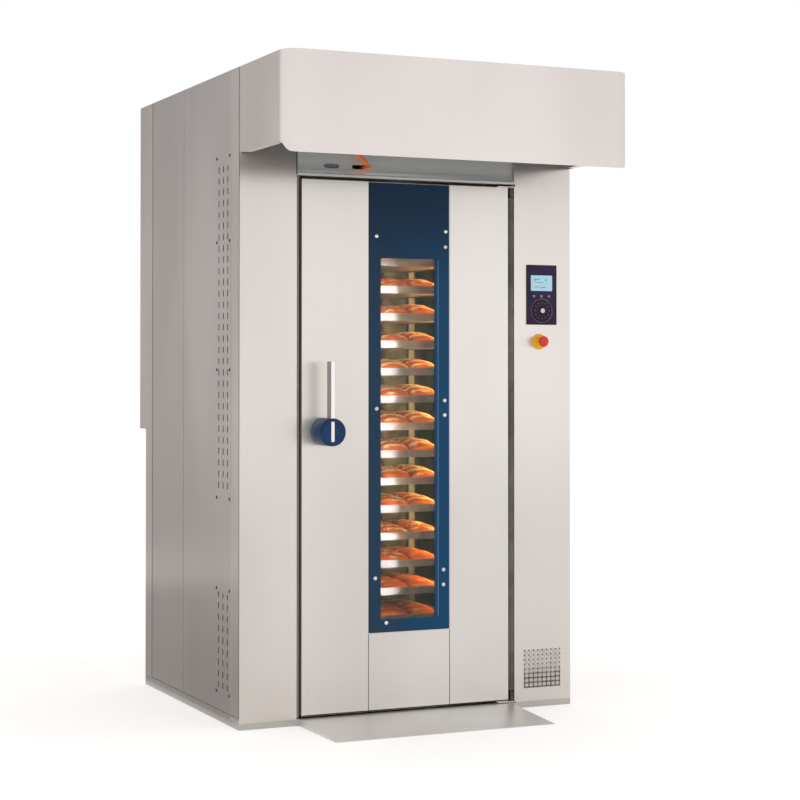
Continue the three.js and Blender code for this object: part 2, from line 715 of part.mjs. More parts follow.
// ---- access ramp: an inclined plate with side gussets ----
const rampFrontY = frontY - gap - rampLength;
const rampTopZ = floorZ;
const rampToeZ = 2;
function accessRamp() {
  const topAt = y => rampToeZ + ((rampTopZ - rampToeZ) * (y - rampFrontY)) / rampLength;
  const x0 = leftColumnX + rampLeftGap;
  const x1 = rightColumnX - rampRightGap;
  const backEdge = frontY - gap;
  const wedge = outline([[rampFrontY, 0], [backEdge, 0], [backEdge, rampTopZ], [rampFrontY, rampToeZ]]);
  const hollowToe = rampFrontY + ((rampSheet - rampToeZ + 0.5) * rampLength) / (rampTopZ - rampToeZ);
  const hollow = outline([
    [hollowToe, -1], [backEdge + 10, -1], [backEdge + 10, topAt(backEdge + 10) - rampSheet],
    [hollowToe, topAt(hollowToe) - rampSheet],
  ]);
  return cut(push(wedge, 'x', x0, x1), push(hollow, 'x', x0 + rampSheet, x1 - rampSheet));
}
place('access_ramp', accessRamp(), looks.stainless);

// ---- control panel, dial and emergency stop ----
const fasciaThickness = 3;
const fasciaY = frontY - gap - fasciaThickness;
const controlDepth = 45;
const dialShaftRadius = 4;
function controlPanel() {
  const [x0, x1] = [panelLeftX, panelLeftX + panelWidth];
  const [z0, z1] = [panelBottomZ, panelBottomZ + panelHeight];
  const inset = 8 + gap;
  return cut(
    join(
      push(rounded(x0, x1, z0, z1, 3), 'y', fasciaY, frontY - gap, 3),
      box(x0 + inset, x1 - inset, fasciaY + 1, frontY + controlDepth, z0 + inset, z1 - inset),
    ),
    box(x0 + 17, x1 - 18, fasciaY - 1, fasciaY + 1, z1 - 97, z1 - 38),
    rod('y', [dialX, 0, dialZ], dialShaftRadius + gap, fasciaY - 1, fasciaY + 22, 16),
  );
}
place('control_panel', controlPanel(), looks.navy);

function selectorDial() {
  const back = fasciaY - gap;
  return join(
    turned([
      [0, back - 8], [9, back - 8], [10, back - 7], [10, back - 3.5], [dialRadius - 7, back - 3.5],
      [dialRadius - 4, back - 5], [dialRadius - 1, back - 4], [dialRadius, back], [0, back],
    ], 'y', [dialX, 0, dialZ], 20),
    rod('y', [dialX, 0, dialZ], dialShaftRadius, back - 1, fasciaY + 20, 16),
  );
}
place('selector_dial', selectorDial(), looks.navy);

const collarFrontY = frontY - gap - 27;
const estopStemRadius = 8;
function estopCollar() {
  const profile = [[0, collarFrontY], [15, collarFrontY], [16, collarFrontY + 1], [17, frontY - gap - 4],
    [28, frontY - gap - 4], [29, frontY - gap - 3], [29, frontY - gap], [0, frontY - gap]];
  return cut(
    turned(profile, 'y', [estopX, 0, estopZ], 16),
    rod('y', [estopX, 0, estopZ], estopStemRadius + gap, collarFrontY - 1, frontY + 1, 16),
  );
}
place('estop_collar', estopCollar(), looks.yellow);

function estopButton() {
  const headBack = collarFrontY - gap - estopTravel - 1;
  const headFront = headBack - 13;
  return join(
    turned([
      [0, headFront], [10, headFront + 0.6], [16, headFront + 2.5], [19.5, headFront + 6],
      [20, headFront + 9], [18, headBack], [0, headBack],
    ], 'y', [estopX, 0, estopZ], 16),
    rod('y', [estopX, 0, estopZ], estopStemRadius, headBack - 1, frontY + 6, 16),
  );
}
place('estop_button', estopButton(), looks.red);

// ---- door hinges: brackets on the right column with pins through the door's arms ----
const hingePinRadius = 6;
const hingeArm = 3;
const pinLength = 36;
function hingeBracket(z0, z1, pinFrom, pinTo) {
  return join(
    box(hingeX - hingePinRadius, rightColumnX - gap, hingeY - 8, hingeY + 45, z0, z1),
    rod('z', [hingeX, hingeY, 0], hingePinRadius, pinFrom, pinTo),
  );
}
const upperPlateZ = doorTopZ + hingeArm + 2 * gap;
place('upper_hinge', hingeBracket(upperPlateZ, headerZ - gap, doorTopZ - pinLength, upperPlateZ + 1),
  looks.innerSteel);
const lowerPlateTopZ = doorBottomZ - hingeArm - gap;
place('lower_hinge', hingeBracket(columnBottom, lowerPlateTopZ, lowerPlateTopZ - 1, doorBottomZ + pinLength),
  looks.innerSteel);

// ---- door ----
const skinY = frontY + sheet;
const shellY = skinY + gap;
const shellLeftX = doorLeftX + sheet + gap;
const shellRightX = doorRightX - sheet - gap;
const paneRebate = 20;
const innerPaneY = doorBackY - 6;
const pocketY = frontY + 34;
const pocketDepth = latchThickness + 6;
function hingeArmPlate(z0, z1) {
  const reach = 60;
  return join(
    box(hingeX - reach, hingeX, hingeY - 10, hingeY + 30, z0, z1),
    rod('z', [hingeX, hingeY, 0], 11, z0, z1),
  );
}
// A block as large as the clear pane, grown all round by a margin.
function opening(margin, y0, y1) {
  return box(clearLeftX - margin, clearRightX + margin, y0, y1, clearBottomZ - margin, clearTopZ + margin);
}
function doorShell() {
  const bottom = doorBottomZ + sheet;
  const top = doorTopZ;
  return cut(
    join(
      box(shellLeftX, shellRightX, shellY, doorBackY, bottom, top),
      hingeArmPlate(top - 0.01, top + hingeArm),
      box(hingeX - 60, shellRightX, shellY, hingeY + 30, doorBottomZ - 0.01, bottom + 1),
      hingeArmPlate(doorBottomZ - hingeArm, doorBottomZ),
    ),
    box(windowLeftX - 1, windowRightX + gap, frontY - 1, recessY, windowFrameBottomZ - 1, top + 1),
    opening(revealWidth, frontY - 1, doorBackY + 1),
    opening(revealWidth + paneRebate, innerPaneY - gap, doorBackY + 1),
    box(doorLeftX - 1, handleX + 30, pocketY, pocketY + pocketDepth,
      handleZ - 30, handleZ + latchReach + 8),
    rod('y', [handleX, 0, handleZ], handleShaftRadius + gap, shellY - 1, pocketY + 1),
    rod('z', [hingeX, hingeY, 0], hingePinRadius + gap, doorBottomZ - 10, doorTopZ + 10),
  );
}
place('door_shell', doorShell(), looks.stainless);

function doorLeftPanel() {
  const bottom = doorBottomZ + sheet;
  const top = doorTopZ - gap;
  return cut(
    join(
      box(doorLeftX, windowLeftX - seamWidth, frontY, skinY, bottom, top),
      box(doorLeftX, doorLeftX + sheet, frontY, doorBackY - 1, bottom, top),
    ),
    rod('y', [handleX, 0, handleZ], handleShaftRadius + 1, frontY - 1, skinY + 1),
    box(doorLeftX - 1, doorLeftX + sheet + 0.1, pocketY, pocketY + pocketDepth, handleZ - 20,
      handleZ + latchReach + 8),
  );
}
place('door_left_panel', doorLeftPanel(), looks.stainless);

function doorRightPanel() {
  const bottom = doorBottomZ + sheet + hingeArm;
  const top = doorTopZ - gap;
  return join(
    box(windowRightX + seamWidth, doorRightX, frontY, skinY, bottom, top),
    box(doorRightX - sheet, doorRightX, frontY, doorBackY - 1, bottom, top),
  );
}
place('door_right_panel', doorRightPanel(), looks.stainless);
place('door_lower_panel',
  box(windowLeftX, windowRightX, frontY, skinY, doorBottomZ + sheet, windowFrameBottomZ - seamWidth - 1),
  looks.stainless);
place('inner_glass',
  opening(revealWidth + paneRebate - 1, innerPaneY, innerPaneY + paneThickness), looks.glass);

const sealWidth = 16;
function doorSeal() {
  const [x0, x1, z0, z1] = [doorLeftX + 4, doorRightX - 4, doorBottomZ + 3, doorTopZ - 3];
  const inner = [x0 + sealWidth, x1 - sealWidth, z0 + sealWidth, z1 - sealWidth];
  const ring = rounded(x0, x1, z0, z1, 12);
  ring.holes.push(rounded(...inner, 4, new THREE.Path()));
  return push(ring, 'y', doorBackY + gap, doorBackY + gap + sealThickness, 2);
}
place('door_seal', doorSeal(), looks.rubber);

// ---- outer window, hinged on its right edge ----
const windowTopZ = doorTopZ - windowTopGap;
function windowSurround() {
  const frame = rounded(windowLeftX, windowRightX, windowFrameBottomZ, windowTopZ, 2);
  frame.holes.push(rounded(clearLeftX, clearRightX, clearBottomZ, clearTopZ, 6, new THREE.Path()));
  return push(frame, 'y', frontY, frontY + surroundThickness, 2);
}
place('window_surround', windowSurround(), looks.blue);
place('outer_glass',
  opening(paneLap, frontY + surroundThickness + gap, recessY - gap), looks.glass);

// ---- handle: drum with a bar let into its front, and the latch cam on its shaft ----
function handleHub() {
  const rearY = frontY - 1;
  const faceY = frontY - drumDepth;
  const frontEdge = 5;
  const rearEdge = 14;
  const drum = turned([
    [0, faceY],
    ...roundEdge(drumRadius - frontEdge, faceY + frontEdge, frontEdge, -Math.PI / 2, 0, 2),
    ...roundEdge(drumRadius - rearEdge, rearY - rearEdge, rearEdge, 0, Math.PI / 2, 3),
    [0, rearY],
  ], 'y', [handleX, 0, handleZ], 24);
  const half = barWidth / 2 + gap;
  const slot = [handleX - half, handleX + half];
  return join(
    cut(
      drum,
      box(...slot, barFrontY - gap, barFrontY + barDepth + gap, barBottomZ - gap, handleZ + drumRadius + 5),
      box(...slot, faceY - 1, barFrontY, barBottomZ - gap, drumWindowZ),
    ),
    rod('y', [handleX, 0, handleZ], handleShaftRadius, rearY - 1, pocketY + 3 + latchThickness),
  );
}
place('handle_hub', handleHub(), looks.blue);
place('handle_bar',
  push(rounded(handleX - barWidth / 2, handleX + barWidth / 2, barBottomZ, barTopZ, 2), 'y',
    barFrontY, barFrontY + barDepth, 2), looks.stainless);

function latchCam() {
  const arm = new THREE.Shape();
  const half = latchWidth / 2;
  arm.moveTo(handleX, handleZ + 22);
  arm.lineTo(handleX - latchReach + half, handleZ + half);
  arm.absarc(handleX - latchReach + half, handleZ, half, Math.PI / 2, 1.5 * Math.PI, false);
  arm.lineTo(handleX, handleZ - 22);
  arm.absarc(handleX, handleZ, 22, -Math.PI / 2, Math.PI / 2, false);
  arm.closePath();
  return cut(
    push(arm, 'y', pocketY + 3, pocketY + 3 + latchThickness, 4),
    rod('y', [handleX, 0, handleZ], handleShaftRadius + gap, pocketY, pocketY + 20),
  );
}
place('latch_cam', latchCam(), looks.innerSteel);

// ---- rotor: turntable, spindle, rack and trays ----
place('turntable',
  join(
    rod('z', [0, 0, 0], turntableRadius, floorZ - turntableThickness, floorZ, 40),
    rod('z', [0, 0, 0], pivotRadius, recessZ - pivotDepth + 1, floorZ - 1),
  ), looks.innerSteel);

const forkHeight = 50;
const forkHalf = { x: 45, y: 22 };
const forkDepth = 36;
const forkBottomZ = rackTopZ + gap;
function driveSpindle() {
  const forkTopZ = forkBottomZ + forkHeight;
  const half = tongueThickness / 2 + gap;
  return cut(
    join(
      rod('z', [0, 0, 0], spindleRadius, forkTopZ - 1, spindleTopZ),
      box(-forkHalf.x, forkHalf.x, -forkHalf.y, forkHalf.y, forkBottomZ, forkTopZ),
    ),
    box(-forkHalf.x - 1, forkHalf.x + 1, -half, half, forkBottomZ - 1, forkBottomZ + forkDepth),
  );
}
place('drive_spindle', driveSpindle(), looks.innerSteel);

const casterX = postX - 45;
const casterY = postY - 10;
const cheek = 3;
const casterPlate = 48;
function trayZ(index) {
  return lowestTrayZ + index * trayPitch;
}
function rackFrame() {
  const pieces = [];
  const half = postSize / 2;
  const [outerX, outerY] = [postX + half, postY + half];
  for (const x of [-postX, postX]) {
    for (const y of [-postY, postY]) {
      pieces.push(box(x - half, x + half, y - half, y + half, rackBottomZ, rackTopZ));
    }
    for (const z of [rackBottomZ, rackTopZ - postSize]) {
      pieces.push(box(x - half, x + half, -outerY, outerY, z, z + postSize));
    }
    const inner = x - Math.sign(x) * half;
    const wallX = inner - Math.sign(x) * runnerSheet;
    const ledgeX = wallX - Math.sign(x) * (runnerWidth + trayPlay);
    for (let index = 0; index < trayCount; index += 1) {
      const z = trayZ(index) - trayRim / 2 - gap;
      const angle = [[inner, z - runnerSheet], [inner, z + runnerWall], [wallX, z + runnerWall], [wallX, z],
        [ledgeX, z], [ledgeX, z - runnerSheet]];
      pieces.push(push(outline(angle), 'y', -outerY, outerY));
    }
  }
  for (const y of [-postY, postY]) {
    for (const z of [rackBottomZ, rackTopZ - postSize]) {
      pieces.push(box(-outerX, outerX, y - half, y + half, z, z + postSize));
    }
  }
  pieces.push(box(-outerX, outerX, -half, half, rackTopZ - postSize, rackTopZ));
  pieces.push(box(-forkHalf.x + 10, forkHalf.x - 10, -tongueThickness / 2, tongueThickness / 2,
    rackTopZ - 1, rackTopZ + forkDepth - 4));
  for (const x of [-casterX, casterX]) {
    for (const y of [-casterY, casterY]) {
      const side = wheelWidth / 2 + 1;
      const inwardX = x - (Math.sign(x) * casterPlate) / 2;
      const outwardX = Math.sign(x) * postX;
      pieces.push(box(Math.min(inwardX, outwardX), Math.max(inwardX, outwardX),
        y - casterPlate / 2, y + casterPlate / 2, rackBottomZ - 4, rackBottomZ + 1));
      for (const inner of [x - side - cheek, x + side]) {
        pieces.push(box(inner, inner + cheek, y - 12, y + 12, wheelZ - 14, rackBottomZ));
      }
      pieces.push(rod('x', [0, y, wheelZ], axleRadius, x - side - cheek, x + side + cheek, 8));
    }
  }
  return join(...pieces);
}
place('rack_frame', rackFrame(), looks.innerSteel);

function tray(index) {
  const z0 = trayZ(index) - trayRim / 2;
  const [x, y] = [trayLength / 2, trayWidth / 2];
  const shape = rounded(-x, x, -y, y, 12);
  const inner = rounded(-x + traySheet, x - traySheet, -y + traySheet, y - traySheet, 12 - traySheet);
  return cut(push(shape, 'z', z0, z0 + trayRim, 1), push(inner, 'z', z0 + traySheet, z0 + trayRim + 1, 1));
}
for (let index = 0; index < trayCount; index += 1) {
  place(`tray_${String(index + 1).padStart(2, '0')}`, tray(index), looks.tray);
}

function casterWheel(x, y) {
  const half = wheelWidth / 2;
  const bore = boreOf(axleRadius, 12);
  const web = wheelRadius - 14;
  const profile = [[bore, -half + 4], [web, -half + 4], [web, -half], [wheelRadius - 4, -half],
    [wheelRadius, 0], [wheelRadius - 4, half], [web, half], [web, half - 4], [bore, half - 4],
    [bore, -half + 4]];
  return turned(profile, 'x', [x, y, wheelZ], 12);
}
place('front_left_wheel', casterWheel(-casterX, -casterY), looks.wheel);
place('front_right_wheel', casterWheel(casterX, -casterY), looks.wheel);
place('rear_left_wheel', casterWheel(-casterX, casterY), looks.wheel);
place('rear_right_wheel', casterWheel(casterX, casterY), looks.wheel);

export default oven;
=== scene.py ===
# Rotating rack oven: finishes, fasteners, seals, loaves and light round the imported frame.
import math

import bmesh
import bpy
import numpy as np
from mathutils import Matrix, Vector


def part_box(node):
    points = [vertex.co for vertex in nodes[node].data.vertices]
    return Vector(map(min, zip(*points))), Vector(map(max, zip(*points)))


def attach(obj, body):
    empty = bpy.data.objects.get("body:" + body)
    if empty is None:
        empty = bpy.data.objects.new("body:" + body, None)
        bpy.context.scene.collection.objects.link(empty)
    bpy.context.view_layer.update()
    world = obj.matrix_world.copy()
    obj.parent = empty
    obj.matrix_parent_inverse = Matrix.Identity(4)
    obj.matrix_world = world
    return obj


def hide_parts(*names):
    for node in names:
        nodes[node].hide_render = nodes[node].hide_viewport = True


mm = 0.001
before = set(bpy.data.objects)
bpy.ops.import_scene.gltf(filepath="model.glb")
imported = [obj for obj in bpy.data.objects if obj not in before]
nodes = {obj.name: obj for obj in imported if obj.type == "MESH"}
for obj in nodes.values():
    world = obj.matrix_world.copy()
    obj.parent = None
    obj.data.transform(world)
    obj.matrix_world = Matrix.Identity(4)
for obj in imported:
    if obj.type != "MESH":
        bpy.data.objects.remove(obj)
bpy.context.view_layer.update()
rng = np.random.default_rng(7)
print("frame loaded,", len(nodes), "nodes")


def corners(name):
    # a node's lowest and highest corner at rest
    low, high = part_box(name)
    return np.array(low), np.array(high)


def addObject(name, data):
    made = bpy.data.objects.new(name, data)
    bpy.context.scene.collection.objects.link(made)
    return made


# camera
camera = {
    "place": (-2.9087, -6.8670, 1.2414),
    "yaw": 24.40,  # degrees to the right of straight on
    "pitch": 0.81,  # degrees upwards
    "lens": 86.82,
    "sensor": 36.0,
    "shiftY": -0.0698,  # the photograph is cut from a taller frame
    "reach": 60.0,
}


def addCamera():
    data = bpy.data.cameras.new("photoCamera")
    data.lens = camera["lens"]
    data.sensor_width = camera["sensor"]
    data.shift_y = camera["shiftY"]
    data.clip_end = camera["reach"]
    made = addObject("photoCamera", data)
    made.location = camera["place"]
    made.rotation_euler = (math.pi / 2 + math.radians(camera["pitch"]), 0, -math.radians(camera["yaw"]))
    bpy.context.scene.camera = made


addCamera()
print("camera placed")


# materials
eased = {"interpolation_type": "SMOOTHSTEP"}  # a Map Range takes inputs 1 to 2 and gives 3 to 4


def srgb(text):
    # a hex colour as it looks on screen, turned to linear light
    values = [int(text[i : i + 2], 16) / 255 for i in (1, 3, 5)]
    linear = [v / 12.92 if v <= 0.04045 else ((v + 0.055) / 1.055) ** 2.4 for v in values]
    return (*linear, 1.0)


def addNode(tree, kind, settings=None, links=None):
    # settings go to a property or, by name or number, to an input; links go to inputs, from an
    # output or from a node's first output
    made = tree.nodes.new(kind)
    for key, value in (settings or {}).items():
        if isinstance(key, str) and hasattr(made, key):
            setattr(made, key, value)
        else:
            made.inputs[key].default_value = value
    for key, source in (links or {}).items():
        tree.links.new(getattr(source, "outputs", [source])[0], made.inputs[key])
    return made


def openFinish(name):
    # an empty material, and the place on the object in metres
    mat = bpy.data.materials.new(name)
    mat.use_nodes = True
    mat.node_tree.nodes.clear()
    place = addNode(mat.node_tree, "ShaderNodeTexCoord").outputs["Object"]
    return mat, mat.node_tree, place


def closeFinish(mat, settings, links=None):
    # the surface shader and the output, once the patterns are made
    shader = addNode(mat.node_tree, "ShaderNodeBsdfPrincipled", settings, links)
    addNode(mat.node_tree, "ShaderNodeOutputMaterial", {"is_active_output": True}, {"Surface": shader})
    return mat


def twoTone(tree, pattern, low, high, first, second):
    # the first colour where the pattern is under low, the second where it is over high
    amount = addNode(tree, "ShaderNodeMapRange", {**eased, 1: low, 2: high}, {0: pattern})
    colours = {"data_type": "RGBA", 6: srgb(first), 7: srgb(second)}
    return addNode(tree, "ShaderNodeMix", colours, {0: amount}).outputs[2]


def brushedSteel(name, light, dark, rough=0.29, metallic=0.88, across=False, drawn=0.85):
    # stainless steel 1.4301 ground with a belt: a satin gloss drawn out along the grain and a
    # faint cloudy tone over a sheet; the real grain is a few hundredths of a millimetre wide and
    # is drawn coarser so that it shows; drawn is how far the gloss follows the grain
    mat, tree, place = openFinish(name)
    fine, long, cloudy = 1 / (2.2 * mm), 1 / (420 * mm), 1 / (625 * mm)
    alongGrain = (long, fine, fine) if across else (fine, fine, long)
    grainPlace = addNode(tree, "ShaderNodeMapping", {"Scale": alongGrain}, {"Vector": place})
    grain = addNode(tree, "ShaderNodeTexNoise", {"Scale": 1.0, "Detail": 3.0, "Roughness": 0.6},
                    {"Vector": grainPlace})
    tall = (cloudy, cloudy, cloudy / 2)
    cloudPlace = addNode(tree, "ShaderNodeMapping", {"Scale": tall}, {"Vector": place})
    cloud = addNode(tree, "ShaderNodeTexNoise", {"Scale": 1.0, "Detail": 2.0}, {"Vector": cloudPlace})
    streaks = addNode(tree, "ShaderNodeMapRange", {**eased, 1: 0.3, 2: 0.7, 4: 0.22}, {0: grain})
    clouds = addNode(tree, "ShaderNodeMapRange", {**eased, 1: 0.35, 2: 0.65, 4: 0.78}, {0: cloud})
    tone = addNode(tree, "ShaderNodeMath", {"operation": "ADD"}, {0: streaks, 1: clouds})
    colour = addNode(tree, "ShaderNodeMix", {"data_type": "RGBA", 6: srgb(dark), 7: srgb(light)}, {0: tone})
    satin = {**eased, 1: 0.35, 2: 0.65, 3: rough - 0.01, 4: rough + 0.01}
    gloss = addNode(tree, "ShaderNodeMapRange", satin, {0: cloud})
    relief = addNode(tree, "ShaderNodeBump", {"Strength": 0.012, "Distance": 0.2 * mm}, {"Height": grain})
    return closeFinish(mat, {"Metallic": metallic, "Anisotropic": drawn},
                       {"Base Color": colour.outputs[2], "Roughness": gloss, "Normal": relief})


def bakedSteel(name, light, dark, rough=0.42):
    # stainless steel that has been hot for years: duller, browned in patches by grease and heat
    mat, tree, place = openFinish(name)
    patches = addNode(tree, "ShaderNodeTexNoise",
                      {"Scale": 1 / (166.7 * mm), "Detail": 5.0, "Roughness": 0.62}, {"Vector": place})
    dull = {**eased, 1: 0.3, 2: 0.7, 3: rough - 0.08, 4: rough + 0.14}
    gloss = addNode(tree, "ShaderNodeMapRange", dull, {0: patches})
    return closeFinish(mat, {"Metallic": 0.85}, {
        "Base Color": twoTone(tree, patches, 0.38, 0.66, light, dark), "Roughness": gloss})


def mouldedPlastic(name, colour, shade, rough=0.38, grainMm=0.9, bump=0.12, coat=0.0, gloss=0.5):
    # ABS from a spark-eroded mould: an even body colour with a fine leathery grain in the gloss
    mat, tree, place = openFinish(name)
    grain = addNode(tree, "ShaderNodeTexVoronoi", {"Scale": 1 / (grainMm * mm)}, {"Vector": place})
    wear = addNode(tree, "ShaderNodeTexNoise", {"Scale": 1 / (45.45 * mm), "Detail": 4.0}, {"Vector": place})
    worn = {**eased, 1: 0.3, 2: 0.7, 3: rough - 0.05, 4: rough + 0.07}
    sheen = addNode(tree, "ShaderNodeMapRange", worn, {0: wear})
    relief = addNode(tree, "ShaderNodeBump", {"Strength": bump, "Distance": 0.1 * mm}, {"Height": grain})
    settings = {"IOR": 1.53, "Specular IOR Level": gloss, "Coat Weight": coat, "Coat Roughness": 0.12}
    return closeFinish(mat, settings, {"Base Color": twoTone(tree, wear, 0.35, 0.7, colour, shade),
                                       "Roughness": sheen, "Normal": relief})


def paintedLightPlastic(name, low, high, lowZ, highZ):
    # moulded plastic painted lighter towards its top, painted light where more light falls, with a random
    # uneven tone
    mat, tree, place = openFinish(name)
    height = addNode(tree, "ShaderNodeSeparateXYZ", None, {0: place}).outputs[2]
    wear = addNode(tree, "ShaderNodeTexNoise", {"Scale": 1 / (33.33 * mm), "Detail": 3.0}, {"Vector": place})
    paintedTopLight = addNode(tree, "ShaderNodeMapRange", {**eased, 1: lowZ, 2: highZ}, {0: height})
    uneven = addNode(tree, "ShaderNodeMapRange", {**eased, 1: 0.3, 2: 0.7, 3: -0.15, 4: 0.15}, {0: wear})
    tone = addNode(tree, "ShaderNodeMath", {"operation": "ADD"}, {0: paintedTopLight, 1: uneven})
    colour = addNode(tree, "ShaderNodeMix", {"data_type": "RGBA", 6: srgb(low), 7: srgb(high)}, {0: tone})
    return closeFinish(mat, {"Roughness": 0.5, "IOR": 1.5}, {"Base Color": colour.outputs[2]})


def printedGlass(name, left, right, top, sideX=(-0.13, 0.13), shadedTopZ=(1.5, 1.85)):
    # toughened glass with a ceramic print fired on its back: a deep blue under a hard clear
    # gloss, stronger towards the right, and darker under the hood as painted shade
    mat, tree, place = openFinish(name)
    axes = addNode(tree, "ShaderNodeSeparateXYZ", None, {0: place}).outputs
    cloud = addNode(tree, "ShaderNodeTexNoise", {"Scale": 1 / (333.3 * mm), "Detail": 3.0}, {"Vector": place})
    side = addNode(tree, "ShaderNodeMapRange", {**eased, 1: sideX[0], 2: sideX[1]}, {0: axes[0]})
    uneven = addNode(tree, "ShaderNodeMapRange", {**eased, 1: 0.3, 2: 0.7, 3: -0.1, 4: 0.1}, {0: cloud})
    across = addNode(tree, "ShaderNodeMath", {"operation": "ADD"}, {0: side, 1: uneven})
    body = addNode(tree, "ShaderNodeMix", {"data_type": "RGBA", 6: srgb(left), 7: srgb(right)}, {0: across})
    # painted shade: the top colour takes over towards the hood
    high = addNode(tree, "ShaderNodeMapRange", {**eased, 1: shadedTopZ[0], 2: shadedTopZ[1]}, {0: axes[2]})
    colour = addNode(tree, "ShaderNodeMix", {"data_type": "RGBA", 7: srgb(top)},
                     {0: high, 6: body.outputs[2]})
    return closeFinish(mat, {"Roughness": 0.28, "IOR": 1.52, "Specular IOR Level": 0.08},
                       {"Base Color": colour.outputs[2]})


def clearGlass(name, tint, cover):
    # float glass with a coating against glare: mostly see-through, a faint cool gloss over it,
    # and a few wiping marks in that gloss
    mat, tree, place = openFinish(name)
    wiped = (1 / (111.1 * mm), 1 / (111.1 * mm), 1 / (333.3 * mm))
    markPlace = addNode(tree, "ShaderNodeMapping", {"Scale": wiped}, {"Vector": place})
    marks = addNode(tree, "ShaderNodeTexNoise", {"Scale": 1.0, "Detail": 4.0, "Distortion": 1.2},
                    {"Vector": markPlace})
    gloss = addNode(tree, "ShaderNodeMapRange", {**eased, 1: 0.5, 2: 0.8, 3: 0.02, 4: 0.12}, {0: marks})
    settings = {"Base Color": srgb(tint), "IOR": 1.52, "Specular IOR Level": 0.8, "Alpha": cover}
    return closeFinish(mat, settings, {"Roughness": gloss})


def siliconeRubber(name, colour, shade):
    # silicone profile: matt, slightly dusty, with a soft sheen at grazing angles
    mat, tree, place = openFinish(name)
    dust = addNode(tree, "ShaderNodeTexNoise", {"Scale": 1 / (22.22 * mm), "Detail": 5.0}, {"Vector": place})
    return closeFinish(mat, {"Roughness": 0.72, "IOR": 1.41, "Sheen Weight": 0.15},
                       {"Base Color": twoTone(tree, dust, 0.45, 0.75, colour, shade)})


def mineralWool(name, light, dark):
    # pressed rock wool: matt, yellow-green, with tangled fibres drawn as tufts of 6 mm
    mat, tree, place = openFinish(name)
    fibres = addNode(tree, "ShaderNodeTexNoise",
                     {"Scale": 1 / (6.25 * mm), "Detail": 6.0, "Distortion": 2.5}, {"Vector": place})
    relief = addNode(tree, "ShaderNodeBump", {"Strength": 0.6, "Distance": 2 * mm}, {"Height": fibres})
    return closeFinish(mat, {"Roughness": 1.0}, {
        "Base Color": twoTone(tree, fibres, 0.35, 0.65, light, dark), "Normal": relief})


def breadCrust(name, light, dark, flourAndHighlight):
    # wheat crust: orange-brown where it baked free, cream where the cuts opened on top, partly flour and
    # partly a painted highlight, a satin glaze from steam, and fine blisters
    mat, tree, place = openFinish(name)
    patches = addNode(tree, "ShaderNodeTexNoise",
                      {"Scale": 1 / (29.41 * mm), "Detail": 6.0, "Roughness": 0.65}, {"Vector": place})
    crumb = addNode(tree, "ShaderNodeTexNoise", {"Scale": 1 / (4.167 * mm), "Detail": 4.0}, {"Vector": place})
    body = twoTone(tree, patches, 0.3, 0.72, light, dark)
    opened = addNode(tree, "ShaderNodeAttribute", {"attribute_name": "opened"}).outputs["Fac"]
    uneven = addNode(tree, "ShaderNodeMapRange", {**eased, 1: 0.35, 2: 0.65, 3: -0.35, 4: 0.35}, {0: patches})
    flourAndHighlightShare = addNode(tree, "ShaderNodeMath", {"operation": "ADD"}, {0: opened, 1: uneven})
    amount = addNode(tree, "ShaderNodeMapRange", {**eased, 1: 0.3, 2: 0.6}, {0: flourAndHighlightShare})
    colour = addNode(tree, "ShaderNodeMix", {"data_type": "RGBA", 7: srgb(flourAndHighlight)}, {0: amount, 6: body})
    glaze = addNode(tree, "ShaderNodeMapRange", {**eased, 1: 0.3, 2: 0.7, 3: 0.42, 4: 0.65}, {0: patches})
    relief = addNode(tree, "ShaderNodeBump", {"Strength": 0.35, "Distance": 1 * mm}, {"Height": crumb})
    return closeFinish(mat, {"IOR": 1.45, "Specular IOR Level": 0.25},
                       {"Base Color": colour.outputs[2], "Roughness": glaze, "Normal": relief})


def litDisplay(name, edge, bloom):
    # a backlit liquid crystal panel: even pale blue light with a slight bloom in it
    mat, tree, place = openFinish(name)
    cloud = addNode(tree, "ShaderNodeTexNoise", {"Scale": 1 / (35.71 * mm), "Detail": 1.0}, {"Vector": place})
    colour = twoTone(tree, cloud, 0.3, 0.7, edge, bloom)
    return closeFinish(mat, {"Roughness": 0.3, "Emission Strength": 0.3},
                       {"Base Color": colour, "Emission Color": colour})


